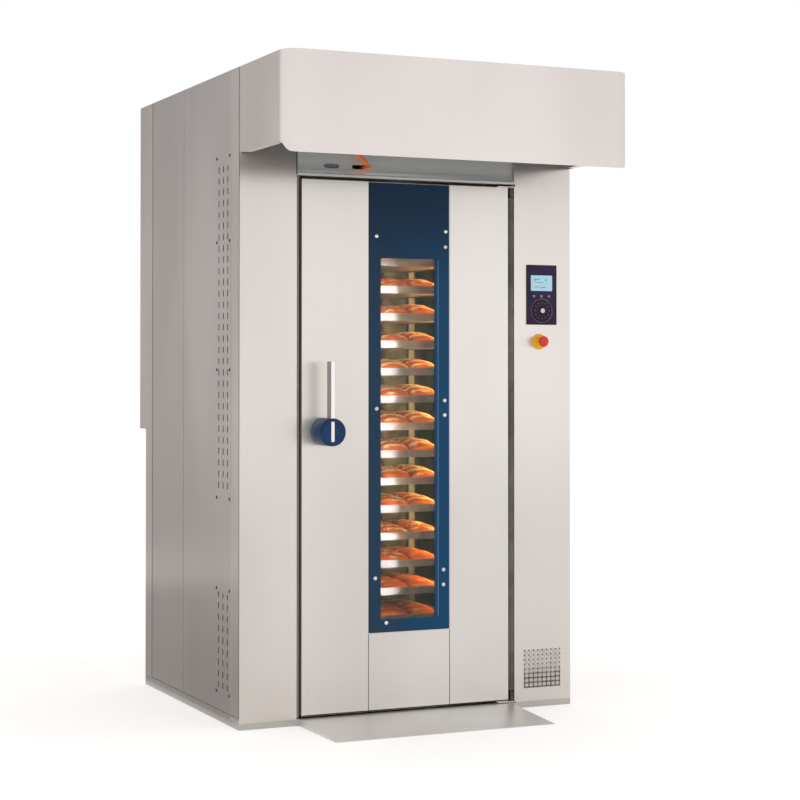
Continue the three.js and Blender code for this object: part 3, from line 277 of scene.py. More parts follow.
finishes = {
    "front": brushedSteel("groundStainlessFront", "#e1dad5", "#d6cfca"),
    "door": brushedSteel("groundStainlessDoor", "#e2ddd8", "#d7d2cd"),
    # a darker copy of the ground steel for the side panels: the darker tone is painted shade
    "side": brushedSteel("groundStainlessSideShaded", "#dad5d2", "#cdc8c5"),
    # a lighter copy of the ground steel for the hood, painted light; the hood's roof takes the same colours
    "hood": brushedSteel("groundStainlessHoodLit", "#e8e0dc", "#ddd5d1"),
    # a darker copy of the steel for the faces inside the hood: painted shade
    "shadedHoodInside": bakedSteel("paintedShadeHoodInside", "#c0c2c4", "#a9acaf", rough=0.5),
    # a lighter, cooler copy of the ground steel for the header: painted light against the shade under the
    # hood
    "header": brushedSteel("groundStainlessHeaderLit", "#ecedeb", "#e2e3e1", metallic=0.45),
    "ramp": brushedSteel("groundStainlessRamp", "#ebe9e7", "#dedbd9", rough=0.4, across=True, drawn=0.0),
    "roof": brushedSteel("groundStainlessRoof", "#dad5d2", "#cdc8c5", rough=0.34, drawn=0.0),
    "hoodRoof": brushedSteel("groundStainlessHoodRoof", "#e8e0dc", "#ddd5d1", rough=0.34, drawn=0.0),
    "chamber": bakedSteel("bakedStainlessChamber", "#80776c", "#50463b"),
    "rack": bakedSteel("bakedStainlessRack", "#7d776d", "#5d554b", rough=0.36),
    "tray": bakedSteel("bakedSteelTray", "#d8d5d8", "#b0abb1", rough=0.37),
    "frameSteel": brushedSteel("groundStainlessBase", "#cbc8c3", "#bfbcb7", rough=0.36, across=True),
    "rearFlange": brushedSteel("groundStainlessRear", "#e6ddd9", "#dad1cd"),
    "darkSteel": bakedSteel("blackenedSteel", "#6d6966", "#57534f", rough=0.55),
    # a darker copy of the blackened steel for the lower hinge: painted shade at the door's foot
    "hinge": bakedSteel("blackenedHingeShaded", "#625e5b", "#524e4b", rough=0.6),
    # the jamb's grey is painted light in the dark gap by the hinges
    "jamb": bakedSteel("jambSteelLit", "#6f6a65", "#605b56", rough=0.5),
    # the last colour is painted shade under the hood
    "blueGlass": printedGlass("bluePrintedGlass", "#2a445c", "#1b4d72", "#1f3954"),
    "bluePlastic": mouldedPlastic("blueMouldedHandle", "#1e4068", "#193557", rough=0.34, gloss=0.15),
    "glass": clearGlass("clearFloatGlass", "#33463c", 0.12),
    # the bar's white front is painted light and its darker flanks are painted shade
    "barFront": brushedSteel("litHandleBarFront", "#ffffff", "#f5f3f2", rough=0.2, metallic=0.5),
    "shadedBarFlank": brushedSteel("shadedHandleFlank", "#b3acaa", "#9d9694", rough=0.4, metallic=0.5),
    "rubber": siliconeRubber("blackSilicone", "#26211e", "#3a3531"),
    # the lip's pale grey is painted light in the shaded gap by the handle
    "lip": siliconeRubber("paleLitSiliconeLip", "#8f8987", "#9b9592"),
    "sealant": siliconeRubber("greyJointSealant", "#6f655f", "#7c726b"),
    "wool": mineralWool("rockWool", "#b9a671", "#8c7b4c"),
    "navy": mouldedPlastic("navyKeypadFilm", "#3c2e49", "#322843", rough=0.42, bump=0.04, gloss=0.12),
    "dial": mouldedPlastic("darkDialPlastic", "#3a2334", "#2c1f33", rough=0.4, gloss=0.15),
    # the cup's dark grey-violet is painted shade in the header's slot
    "violetCup": mouldedPlastic("greyVioletCupShaded", "#7f7786", "#6d6573", rough=0.45),
    "paneInk": mouldedPlastic("paneEdgeInk", "#8f95b4", "#7f88a8", rough=0.4, bump=0.02),
    "paleInk": mouldedPlastic("paleInk", "#8f8da6", "#7d7b95", rough=0.5, bump=0.02),
    "whiteLens": mouldedPlastic("whiteLens", "#f3e7ea", "#e6d5da", rough=0.34, bump=0.02),
    "yellow": mouldedPlastic("yellowCollarPlastic", "#ffc636", "#fbb827", rough=0.42, gloss=0.3),
    "red": mouldedPlastic("redButtonPlastic", "#f23a24", "#e62e1b", rough=0.34, bump=0.03, coat=0.3,
                          gloss=0.25),
    "orange": mouldedPlastic("orangeLeverGrip", "#ff8236", "#fb7228", rough=0.4, gloss=0.3),
    # the lattice's pale top rows are painted light
    "lattice": paintedLightPlastic("greyFilterLattice", "#7f7673", "#dcd4cf", 0.1, 0.175),
    "mat": mouldedPlastic("paleFilterMat", "#e2d8d2", "#d4c9c3", rough=0.9, grainMm=3.0, bump=0.4),
    "black": mouldedPlastic("blackPlastic", "#22252a", "#2c2e33", rough=0.45),
    "caster": mouldedPlastic("casterPolymer", "#3b3b3d", "#4c4946", rough=0.6),
    "motor": mouldedPlastic("motorEnamel", "#5f6e7a", "#53616c", rough=0.45, grainMm=3.0, bump=0.2),
    "screw": bakedSteel("polishedScrewSteel", "#f2efec", "#d8d4d0", rough=0.16),
    "crust": breadCrust("wheatCrust", "#ee7226", "#bb541c", "#f0d79a"),
    "display": litDisplay("litDisplay", "#a9c9d8", "#93d3e2"),
}

nodeFinish = {
    "front": ["left_column", "right_column"],
    "door": ["door_left_panel", "door_right_panel", "door_lower_panel", "door_shell"],
    "header": ["door_header"],
    "side": ["left_front_panel", "left_rear_panel", "right_side_panel", "left_upper_vent", "left_lower_vent"],
    "roof": ["roof_panel"],
    "rearFlange": ["rear_panel", "rear_service_cover"],
    "hood": ["hood_shell"],
    "ramp": ["access_ramp"],
    "barFront": ["handle_bar"],
    "chamber": ["chamber_liner", "air_duct_panel", "turntable", "circulation_fan"],
    "rack": ["rack_frame", "drive_spindle", "latch_cam"],
    "darkSteel": ["upper_hinge"],
    "hinge": ["lower_hinge"],
    "tray": [name for name in nodes if name.startswith("tray_")],
    "frameSteel": ["base_frame", "heater_bank"],
    "blueGlass": ["window_surround"],
    "bluePlastic": ["handle_hub"],
    "glass": ["outer_glass", "inner_glass"],
    "rubber": ["door_seal"],
    "wool": ["insulation_jacket"],
    "navy": ["control_panel"],
    "dial": ["selector_dial"],
    "yellow": ["estop_collar"],
    "red": ["estop_button"],
    "orange": ["damper_lever"],
    "caster": [name for name in nodes if name.endswith("_wheel")],
    "motor": ["fan_motor", "drive_gearmotor"],
}
for finish, names in nodeFinish.items():
    for name in names:
        nodes[name].data.materials.clear()
        nodes[name].data.materials.append(finishes[finish])
dressed = {name for names in nodeFinish.values() for name in names}
print("finishes set, left plain:", sorted(set(nodes) - dressed))


# shapes
sharpEdge = math.radians(38)  # edges that turn more than this stay crisp


def closeMesh(mesh, merge, sliver=0.0):
    # points nearer than merge become one, edges shorter than sliver go, and faces turn outwards
    build = bmesh.new()
    build.from_mesh(mesh)
    bmesh.ops.remove_doubles(build, verts=build.verts, dist=merge)
    if sliver:
        bmesh.ops.dissolve_degenerate(build, edges=build.edges, dist=sliver)
    bmesh.ops.recalc_face_normals(build, faces=build.faces)
    build.to_mesh(mesh)
    build.free()
    mesh.polygons.foreach_set("use_smooth", np.ones(len(mesh.polygons), bool))


def placePiece(name, mesh, finish, body, replaced=()):
    # gives a mesh its finish and its body, and hides the nodes it stands for
    mesh.materials.append(finishes[finish])
    piece = addObject(name, mesh)
    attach(piece, body)
    if replaced:
        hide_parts(*replaced)
    return piece


def makePiece(name, points, faces, finish, body, slot, replaced=()):
    # a mesh of points and faces, shaded round but for its sharp edges
    mesh = bpy.data.meshes.new(name)
    mesh.from_pydata(points.tolist(), [], faces.tolist())
    closeMesh(mesh, 1e-6, 1e-7)
    mesh.set_sharp_from_angle(angle=sharpEdge)
    return placePiece(name, mesh, finish, body, replaced)


def gridFaces(rows, columns, closed, start=0):
    # quads between each row of points and the next; closed joins a row's last point to its first
    r = np.arange(rows - 1)[:, None]
    c = np.arange(columns if closed else columns - 1)[None, :]
    a = start + r * columns + c
    b = start + r * columns + (c + 1) % columns
    return np.stack([a, b, b + columns, a + columns], axis=-1).reshape(-1, 4)


def arc(centreRadius, centreY, radius, start, stop, steps):
    # part of a circle in a profile, between two angles in degrees from straight outwards
    angle = np.radians(np.linspace(start, stop, steps))
    return list(zip(centreRadius + radius * np.cos(angle), centreY + radius * np.sin(angle)))


def turnedPiece(name, profile, centre, segments, finish, body, slot, replaced=()):
    # a profile of radius and y, carried round an axis along y: x and z are the radius times the
    # cosine and sine of the angle
    profile = np.array(profile, float)
    angle = np.linspace(0, 2 * math.pi, segments, endpoint=False)
    x, z = np.outer(profile[:, 0], np.cos(angle)), np.outer(profile[:, 0], np.sin(angle))
    y = np.broadcast_to(profile[:, 1][:, None], x.shape)
    points = np.stack([x, y, z], axis=-1).reshape(-1, 3) + (centre[0], 0, centre[2])
    return makePiece(name, points, gridFaces(len(profile), segments, True), finish, body, slot, replaced)


def roundedOutline(half, rise, radius, steps):
    # a rectangle whose corners are quarter circles of the given radius
    quarter = np.linspace(0, math.pi / 2, steps)
    points = []
    for turn, (sx, sz) in enumerate([(1, 1), (-1, 1), (-1, -1), (1, -1)]):
        angle = quarter + turn * math.pi / 2
        points.append(np.stack([sx * (half - radius) + radius * np.cos(angle),
                                sz * (rise - radius) + radius * np.sin(angle)], axis=-1))
    return np.concatenate(points)


def platePoints(centre, half, rise, radius, levels, facing="front", steps=6):
    # outlines drawn in from the edge and stacked outwards: each level is (inset, height), and
    # the first and the last are closed by their middle point
    rows = []
    for inset, height in levels:
        flat = roundedOutline(half - inset, rise - inset, max(radius - inset, 0.05 * mm), steps)
        rows.append(np.concatenate([flat, np.full((len(flat), 1), height)], axis=1))
    for at, height in ((0, levels[0][1]), (len(rows), levels[-1][1])):
        rows.insert(at, np.repeat([[0.0, 0.0, height]], len(rows[-1]), axis=0))
    across, up, out = np.concatenate(rows).T
    turned = {
        "front": (across, -out, up),
        "left": (-out, -across, up),
        "right": (out, across, up),
        "rear": (-across, out, up),
    }
    return np.stack(turned[facing], axis=-1) + np.array(centre), len(rows), len(rows[0])


def gather(parts):
    # several grids as one list of points and one of faces
    points, faces, start = [], [], 0
    for grid, rows, columns in parts:
        points.append(grid)
        faces.append(gridFaces(rows, columns, True, start))
        start += len(grid)
    return np.concatenate(points), np.concatenate(faces)


def platePiece(name, plates, finish, body, slot, replaced=()):
    return makePiece(name, *gather(plates), finish, body, slot, replaced)


# smooth copies of round sheet parts
# the faces inside the hood take a darker finish: painted shade under the hood
shadedHoodInside = {
    "finish": "shadedHoodInside",
    "roofFinish": "hoodRoof",
    "radius": 60 * mm,  # of the hood's upright corners
    "roof": 2.3,
    "ceiling": 50 * mm,  # only this near the roof is a level face part of the inside
    "skin": 0.6 * mm,  # faces deeper than this behind the outline are inside
}


def faceValues(mesh, key):
    values = np.empty(3 * len(mesh.polygons), np.float32)
    mesh.polygons.foreach_get(key, values)
    return values.reshape(-1, 3).T


def insideFaces(mesh, name, inside):
    # a face lies inside where its depth behind the outline with round front corners is more than
    # the skin: 0 outside, 1 inside, 2 on the roof
    low, high = corners(name)
    x, y, z = faceValues(mesh, "center")
    level = faceValues(mesh, "normal")[2]
    across = np.abs(x - (low[0] + high[0]) / 2) - (high[0] - low[0]) / 2 + inside["radius"]
    ahead = low[1] + inside["radius"] - y
    outline = np.hypot(np.maximum(across, 0), np.maximum(ahead, 0)) + np.minimum(np.maximum(across, ahead), 0)
    under = z < inside["roof"] - inside["skin"]
    upright = (np.abs(level) < 0.5) | (z > inside["roof"] - inside["ceiling"])
    deep = (inside["radius"] - outline > inside["skin"]) & under & upright
    return np.where((level > 0.9) & (z > inside["roof"] - inside["skin"]), 2, deep).astype(np.int32)


def smoothCopy(name, body, finish, angle, inside=None):
    # the part's own triangles, merged and shaded round across the small steps of its curves;
    # flat walls stay flat, and the faces inside may have a darker finish of their own, painted shade
    mesh = nodes[name].data.copy()
    mesh.name = name + "_skin"
    build = bmesh.new()
    build.from_mesh(mesh)
    bmesh.ops.remove_doubles(build, verts=build.verts, dist=1e-6)
    bmesh.ops.dissolve_limit(build, angle_limit=math.radians(0.5), verts=build.verts, edges=build.edges)
    build.to_mesh(mesh)
    build.free()
    curved = np.abs(faceValues(mesh, "normal")).max(axis=0) < 0.9999
    mesh.polygons.foreach_set("use_smooth", curved)
    mesh.set_sharp_from_angle(angle=math.radians(angle))
    mesh.materials.clear()
    piece = placePiece(mesh.name, mesh, finish, body, [name])
    if inside:
        mesh.materials.append(finishes[inside["finish"]])
        mesh.materials.append(finishes[inside["roofFinish"]])
        piece.data.polygons.foreach_set("material_index", insideFaces(mesh, name, inside))


smoothCopy("hood_shell", "cabinet", "hood", 32, shadedHoodInside)
smoothCopy("circulation_fan", "fan", "chamber", 25)
smoothCopy("turntable", "rotor", "chamber", 25)
for corner in ("front_left", "front_right", "rear_left", "rear_right"):
    smoothCopy(corner + "_wheel", corner + "_caster", "caster", 35)
print("smooth skins set")


# screws
windowScrew = {
    "radius": 7.5 * mm,
    "dome": 3.5 * mm,
    "left": [(-135, 1726), (-135, 1108), (-140, 503)],  # across and up in millimetres
    "right": [(139, 1750), (138, 1694), (135, 1136), (135, 1083), (130, 523), (130, 469)],
    "lower": [(-97, 342)],
}
windowStud = {"radius": 4.5 * mm, "dome": 2 * mm, "place": (57, 1899)}
ventScrew = {
    "radius": 6 * mm,
    "dome": 2.6 * mm,
    "edge": 9 * mm,  # from the cover's side to a screw
    "heights": {"left_upper_vent": (2001, 1701, 1247, 793), "left_lower_vent": (471, 105)},
}
panelScrew = {
    "radius": 5.5 * mm,
    "dome": 2.4 * mm,
    "coverEdges": (30 * mm, 50 * mm),  # from the side, and from the top and bottom
    "coverRows": 5,
    "rearEdge": 50 * mm,
    "rearHeights": (0.12, 0.5, 0.88),
    "sideEdges": (30 * mm, 60 * mm),
    "sideRows": 5,
}


def screwParts(places, s, facing):
    # a domed head: circle outlines drawn in as the height follows a quarter ellipse
    rim, radius = 0.3 * mm, s["radius"]
    angle = np.linspace(0, math.pi / 2, 7)[1:]
    levels = [(0, -0.4 * mm), (0, rim)]
    levels += zip(radius * (1 - np.cos(angle)) * 0.96, rim + s["dome"] * np.sin(angle))
    return [platePoints(place, radius, radius, radius, levels, facing, 5) for place in places]


def windowScrews():
    # the bright heads round the window and the dark stud above it
    s = windowScrew
    front = corners("window_surround")[0][1]
    places = [(x * mm, front, z * mm) for x, z in s["left"] + s["right"] + s["lower"]]
    platePiece("window_screws", screwParts(places, s, "front"), "screw", "window", "stainless")
    x, z = windowStud["place"]
    stud = screwParts([(x * mm, front, z * mm)], windowStud, "front")
    platePiece("window_stud", stud, "black", "window", "seal_rubber")


def ventScrews():
    # a dark head on each side of both slotted covers, at each height
    s = ventScrew
    places = []
    for name, heights in s["heights"].items():
        low, high = corners(name)
        places += [(low[0], y, z * mm) for z in heights for y in (low[1] + s["edge"], high[1] - s["edge"])]
    platePiece("vent_screws", screwParts(places, s, "left"), "black", "cabinet", "dark_steel")


def panelScrews():
    # small heads in rows along the edges of the rear cover, the rear panel and the right panel
    s = panelScrew
    low, high = corners("rear_service_cover")
    edge, end = s["coverEdges"]
    rows = np.linspace(low[2] + end, high[2] - end, s["coverRows"])
    rear = [(x, high[1], z) for z in rows for x in (low[0] + edge, high[0] - edge)]
    rear += [((low[0] + high[0]) / 2, high[1], z) for z in (rows[0], rows[-1])]
    low, high = corners("rear_panel")
    edge = s["rearEdge"]
    rear += [(x, high[1], z) for z in s["rearHeights"] for x in (low[0] + edge, high[0] - edge)]
    low, high = corners("right_side_panel")
    edge, end = s["sideEdges"]
    rows = np.linspace(low[2] + end, high[2] - end, s["sideRows"])
    side = [(high[0], y, z) for z in rows for y in (low[1] + edge, high[1] - edge)]
    heads = screwParts(rear, s, "rear") + screwParts(side, s, "right")
    platePiece("panel_screws", heads, "screw", "cabinet", "stainless")


slotCup = {
    "middle": (-0.304, 1.971),
    "half": 31 * mm,
    "rise": 8.5 * mm,
    "setBack": 14 * mm,  # from the header's front face
    "scale": (0, 0.8, 0.86, 1, 1, 0.93, 0.86, 0.78, 0),  # share of the ellipse, row by row
    "depth": (6, 6, 0.3, 0.3, -0.8, -1.6, -1, 3, 4.5),  # in millimetres
}


def headerCup():
    # a shallow oval cup that closes the header's free slot: an ellipse scaled while it sinks; its dark
    # grey-violet is painted shade in the slot
    s = slotCup
    turn = np.linspace(0, 2 * math.pi, 36, endpoint=False)
    x = s["middle"][0] + np.outer(s["scale"], np.cos(turn)) * s["half"]
    z = s["middle"][1] + np.outer(s["scale"], np.sin(turn)) * s["rise"]
    depth = np.outer(s["depth"], np.ones(len(turn))) * mm
    y = corners("door_header")[0][1] + s["setBack"] + depth
    cup = (np.stack([x, y, z], axis=-1).reshape(-1, 3), *x.shape)
    platePiece("header_slot_cup", [cup], "violetCup", "cabinet", "control_plastic")


paneEdge = {"beside": 3.5 * mm, "half": 0.9 * mm, "short": 12 * mm}


def paneLine():
    # the edge of the clear pane shows through the print as a fine pale line
    low, high = corners("outer_glass")
    middle = (high[0] + paneEdge["beside"], corners("window_surround")[0][1], (low[2] + high[2]) / 2)
    levels = [(0, 0), (0, 0.2 * mm), (0.2 * mm, 0.3 * mm)]
    line = platePoints(middle, paneEdge["half"], (high[2] - low[2]) / 2 - paneEdge["short"], 0.5 * mm, levels,
                       steps=2)
    platePiece("pane_line", [line], "paneInk", "window", "blue_paint")


windowScrews()
ventScrews()
panelScrews()
headerCup()
paneLine()
print("screws set")


# seals and joints
doorGap = {
    "sill": 26 * mm,  # from the floor to the lip's lower end
    "play": 1 * mm,  # at the lip's top, and twice that at the jamb's ends
    "lipX": (0.3 * mm, 12 * mm),  # from the left column's edge
    "lipY": (-0.543, -0.480),
    "jambX": (-22.5 * mm, -0.3 * mm),  # from the right column's edge
    "jambY": (-0.5485, -0.5470),
    "footX": (-78 * mm, -8 * mm),  # from the right column's edge
    "footY": (-0.4 * mm, 2 * mm),  # from the base frame's front
    "footZ": (22.4 * mm, 28.4 * mm),
}


def stripPart(*ends):
    # a moulded strip whose long edges are eased in two steps; its ends are a low and a high
    # value of x, then of y, then of z
    low, high = np.array(ends).T
    (x, _, z), (wide, deep, tall) = (low + high) / 2, high - low
    edge = min(wide, tall) * 0.3
    levels = [(0, 0), (0, deep - edge), (edge * 0.3, deep - edge * 0.3), (edge, deep)]
    return platePoints((x, high[1], z), wide / 2, tall / 2, edge, levels, steps=4)


def doorJoints():
    # a grey lip in the gap on the handle side and a steel jamb between the hinges, their pale grey
    # painted light in the shaded gaps, and a dark stop under the hinge corner of the door as painted shade
    s = doorGap
    _, front, floor = corners("base_frame")[0]
    left, right = corners("left_column")[1][0], corners("right_column")[0][0]
    lipZ = floor + s["sill"], corners("door_header")[0][2] - s["play"]
    jambZ = corners("lower_hinge")[1][2] + 2 * s["play"], corners("upper_hinge")[0][2] - 2 * s["play"]
    lip = stripPart(np.array(s["lipX"]) + left, s["lipY"], lipZ)
    jamb = stripPart(np.array(s["jambX"]) + right, s["jambY"], jambZ)
    foot = stripPart(np.array(s["footX"]) + right, np.array(s["footY"]) + front, s["footZ"])
    platePiece("door_gap_lips", [lip], "lip", "cabinet", "seal_rubber")
    platePiece("hinge_side_jamb", [jamb], "jamb", "cabinet", "stainless")
    platePiece("hinge_foot_shade_stop", [foot], "rubber", "cabinet", "seal_rubber")


sideJoint = {"front": 2.2 * mm, "wrap": 1.8 * mm, "base": 1.6 * mm, "baseShort": 3 * mm}  # half widths


def cornerJoints():
    # joint compound along the left side's front and rear edges and along its foot
    s = sideJoint
    (left, _, rail), (_, _, top) = corners("left_front_panel")
    front, wrap = corners("left_column")[0][1], corners("left_rear_panel")[1][1]
    bead = [(0, -0.2 * mm), (0, 0.4 * mm), (0.6 * mm, 0.9 * mm)]
    flat = [(0, -0.2 * mm), (0, 0.3 * mm), (0.4 * mm, 0.5 * mm)]
    parts = [platePoints((left, y, (rail + top) / 2), half, (top - rail) / 2, 1 * mm, bead, "left", 3)
             for y, half in ((front, s["front"]), (wrap, s["wrap"]))]
    parts.append(platePoints((left, (front + wrap) / 2, rail), (wrap - front) / 2 - s["baseShort"], s["base"],
                             1 * mm, flat, "left", 3))
    platePiece("side_joint_lines", parts, "sealant", "cabinet", "seal_rubber")


headerSeam = {
    "x": (-2.6 * mm, 2.2 * mm),  # from the header's left lower front corner
    "y": (-0.6 * mm, 0.4 * mm),
    "foot": 1 * mm,
    "top": 2.020,
}


def headerJoint():
    # the dark joint where the header meets the left column
    s = headerSeam
    x, y, z = corners("door_header")[0]
    strip = stripPart(np.array(s["x"]) + x, np.array(s["y"]) + y, (z + s["foot"], s["top"]))
    platePiece("header_joint_line", [strip], "rubber", "cabinet", "seal_rubber")


sweep = {"short": 2 * mm, "y": (-1.2 * mm, 0.2 * mm), "z": (0.2 * mm, 4.5 * mm)}


def doorSweep():
    # a rubber sweep along the door's lower edge; its black line also stands in for the shade in the gap under
    # the door, painted shade
    s = sweep
    left, y, z = corners("door_left_panel")[0]
    right = corners("door_right_panel")[1][0]
    strip = stripPart((left + s["short"], right - s["short"]), np.array(s["y"]) + y, np.array(s["z"]) + z)
    platePiece("door_sweep", [strip], "rubber", "door", "seal_rubber")


lowerSeam = {"half": 0.8 * mm, "short": 1 * mm, "radius": 0.4 * mm}


def doorJointLines():
    # the narrow dark joints between the door's lower plate and the panels beside it
    s = lowerSeam
    low, high = corners("door_lower_panel")
    left, right = corners("door_left_panel")[1][0], corners("door_right_panel")[0][0]
    levels = [(0, -0.2 * mm), (0, 0.2 * mm), (0.2 * mm, 0.3 * mm)]
    parts = [platePoints((x, low[1], (low[2] + high[2]) / 2), s["half"], (high[2] - low[2]) / 2 - s["short"],
                         s["radius"], levels, steps=2) for x in ((left + low[0]) / 2, (right + high[0]) / 2)]
    platePiece("door_joint_lines", parts, "sealant", "door", "seal_rubber")


filterFrame = {
    "x": (462 * mm, 609 * mm),
    "z": (74 * mm, 209 * mm),
    "bars": 9,  # each way
    "half": 2.8 * mm,
    "proud": 0.8 * mm,
    "matBack": 5.6 * mm,  # from the column's front to the mat
    "matThick": 4 * mm,
}


def filterGrille():
    # a clipped-on filter: a pale mat behind the square holes and a moulded lattice in front, its
    # bars evenly spaced both ways
    s = filterFrame
    (left, right), (low, high), half = s["x"], s["z"], s["half"]
    front = corners("right_column")[0][1]
    middle = ((left + right) / 2, (low + high) / 2)
    levels = [(0, -0.1 * mm), (0, s["proud"] * 0.6), (s["proud"] * 0.4, s["proud"])]
    bars = [platePoints((x, front, middle[1]), half, (high - low) / 2 + half, 0.6 * mm, levels, steps=3)
            for x in np.linspace(left, right, s["bars"])]
    bars += [platePoints((middle[0], front, z), (right - left) / 2 + half, half, 0.6 * mm, levels, steps=3)
             for z in np.linspace(low, high, s["bars"])]
    platePiece("filter_lattice", bars, "lattice", "cabinet", "stainless")
    pressed = [(0, 0), (0, s["matThick"] - 1 * mm), (1 * mm, s["matThick"])]
    mat = platePoints((middle[0], front + s["matBack"], middle[1]), (right - left) / 2, (high - low) / 2,
                      2 * mm, pressed)
    platePiece("filter_mat", [mat], "mat", "cabinet", "stainless")


doorJoints()
cornerJoints()
headerJoint()
doorSweep()
doorJointLines()
filterGrille()
print("seals and joints set")


# control panel
display = {
    "sides": (17 * mm, 18 * mm),  # from the panel's left and right edges to the window in it
    "down": (97 * mm, 38 * mm),  # from the panel's top to the window's foot and top
    "play": 0.6 * mm,
    "marks": [  # across and up from its middle, half width and half height, in millimetres
        (-26, 14, 5, 1.2), (-14, 14, 4, 1.2), (-26, 8, 3, 1.0), (18, 12, 1.2, 5),
        (-20, -14, 9, 0.8), (6, -16, 12, 0.8), (-8, 2, 14, 0.7),
    ],
}
touchKey = {
    "across": (-33 * mm, -1 * mm, 31 * mm),  # from the panel's middle
    "up": 106 * mm,  # from its foot
    "half": 5.5 * mm,
    "rise": 4.5 * mm,
}


def controlFace():
    # the lit window, plain marks on it and three touch keys, as fine raised ink
    low, high = corners("control_panel")
    front = low[1]
    left, right = low[0] + display["sides"][0], high[0] - display["sides"][1]
    foot, top = high[2] - display["down"][0], high[2] - display["down"][1]
    x, z = (left + right) / 2, (foot + top) / 2
    half, rise = (right - left) / 2 - display["play"], (top - foot) / 2 - display["play"]
    levels = [(0, 0), (0, 0.5 * mm), (0.6 * mm, 0.9 * mm)]
    window = platePoints((x, front + 0.8 * mm, z), half, rise, 2 * mm, levels)
    platePiece("display_window", [window], "display", "cabinet", "control_plastic")
    ink = [(0, 0), (0, 0.25 * mm), (0.2 * mm, 0.3 * mm)]
    marks = [platePoints((x + dx * mm, front - 0.2 * mm, z + dz * mm), half * mm, rise * mm, 0.3 * mm, ink,
                         steps=2) for dx, dz, half, rise in display["marks"]]
    platePiece("display_marks", marks, "black", "cabinet", "control_plastic")
    middle = (low[0] + high[0]) / 2
    keys = [platePoints((middle + dx, front, low[2] + touchKey["up"]), touchKey["half"], touchKey["rise"],
                        4.2 * mm, ink, steps=4) for dx in touchKey["across"]]
    platePiece("touch_keys", keys, "paleInk", "cabinet", "control_plastic")


dialWheel = {
    "dots": 12,
    "dotCircle": 30 * mm,
    "dotHalf": 1.6 * mm,
    "ringGap": 1.2 * mm,
    "ringWidth": 1.4 * mm,
}


def dialFace():
    # each turned shape is a profile from the shaft outwards: the wheel has a flat back, a rounded
    # rim, a shallow dish and a small centre boss
    s = dialWheel
    low, high = corners("selector_dial")
    centre, radius, front = (low + high) / 2, (high[0] - low[0]) / 2, low[1]
    back = corners("control_panel")[0][1] - 0.3 * mm
    wheel = [(0, back + 0.018), (0.004, back + 0.018), (0.004, back), (radius - 0.6 * mm, back)]
    wheel += arc(radius - 0.002, back - 0.002, 0.002, 60, -60, 6)
    wheel += [(radius - 0.005, back - 0.0048), (radius - 0.008, back - 0.0036), (0.012, back - 0.0032),
              (0.0112, back - 0.0052), (0.0096, back - 0.0074), (0, back - 0.0078)]
    turnedPiece("dial_wheel", wheel, centre, 96, "dial", "dial", "control_plastic", ["selector_dial"])
    lens = [(0, front + 0.001), (0.0088, front + 0.001), (0.0088, front - 0.0001), (0.006, front - 0.0009),
            (0, front - 0.0012)]
    turnedPiece("dial_lens", lens, centre, 48, "whiteLens", "dial", "control_plastic")
    inner = radius + s["ringGap"]
    outer = inner + s["ringWidth"]
    ring = [(inner, back), (inner, back - 0.3 * mm), (outer, back - 0.3 * mm), (outer, back), (inner, back)]
    turnedPiece("dial_ring", ring, centre, 96, "paleInk", "cabinet", "control_plastic")
    dots = []
    for angle in np.linspace(0, 2 * math.pi, s["dots"], endpoint=False):
        place = (centre[0] + s["dotCircle"] * math.sin(angle), back - 3.4 * mm,
                 centre[2] + s["dotCircle"] * math.cos(angle))
        dots.append(platePoints(place, s["dotHalf"], s["dotHalf"], 1.5 * mm,
                                [(0, 0), (0, 0.3 * mm), (0.4 * mm, 0.4 * mm)], steps=3))
    platePiece("dial_dots", dots, "paleInk", "dial", "control_plastic")


stopHead = {"shaft": 8 * mm, "round": 7 * mm, "deep": 13 * mm}


def stopButton():
    # two profiles carried round the same shaft: a mushroom head with a full round edge, and a
    # stepped collar under it
    s = stopHead
    low, high = corners("estop_button")
    centre, radius, head = (low + high) / 2, (high[0] - low[0]) / 2, low[1]
    mushroom = [(0, head), (radius * 0.55, head + 0.5 * mm)]
    mushroom += arc(radius - s["round"], head + 0.008, s["round"], -80, 20, 9)
    mushroom += [(radius - 0.002, head + s["deep"]), (s["shaft"], head + s["deep"]), (s["shaft"], high[1]),
                 (0, high[1])]
    turnedPiece("stop_mushroom", mushroom, centre, 64, "red", "stop_button", "red_plastic", ["estop_button"])
    front, back = corners("estop_collar")[0][1], corners("estop_collar")[1][1]
    bore = s["shaft"] + 0.3 * mm
    collar = [(bore, back), (0.029, back), (0.029, back - 0.003), (0.0275, back - 0.004),
              (0.0185, back - 0.0045), (0.0172, back - 0.007), (0.0162, front + 0.002), (0.0152, front),
              (bore, front), (bore, back)]
    turnedPiece("stop_collar", collar, centre, 64, "yellow", "cabinet", "yellow_plastic", ["estop_collar"])


controlFace()
dialFace()
stopButton()
print("controls set")


# handle
drum = {
    "frontRound": 5 * mm,
    "rearRound": 14 * mm,
    "shaft": 12 * mm,
    "slotPlay": 0.4 * mm,
    "slotTop": 1.066,  # the slot is open in front up to here; above it the drum bridges the bar
}


def cutBox(piece, low, high):
    # takes the box between two corners out of a piece
    low, high = np.array(low), np.array(high)
    bpy.ops.mesh.primitive_cube_add(size=1)
    cutter = bpy.context.object
    cutter.data.transform(Matrix.Translation((low + high) / 2) @ Matrix.Diagonal((*(high - low), 1)))
    cut = piece.modifiers.new("barSlot", "BOOLEAN")
    cut.object = cutter
    cut.solver = "EXACT"
    bpy.context.view_layer.objects.active = piece
    bpy.ops.object.modifier_apply(modifier=cut.name)
    bpy.data.objects.remove(cutter)


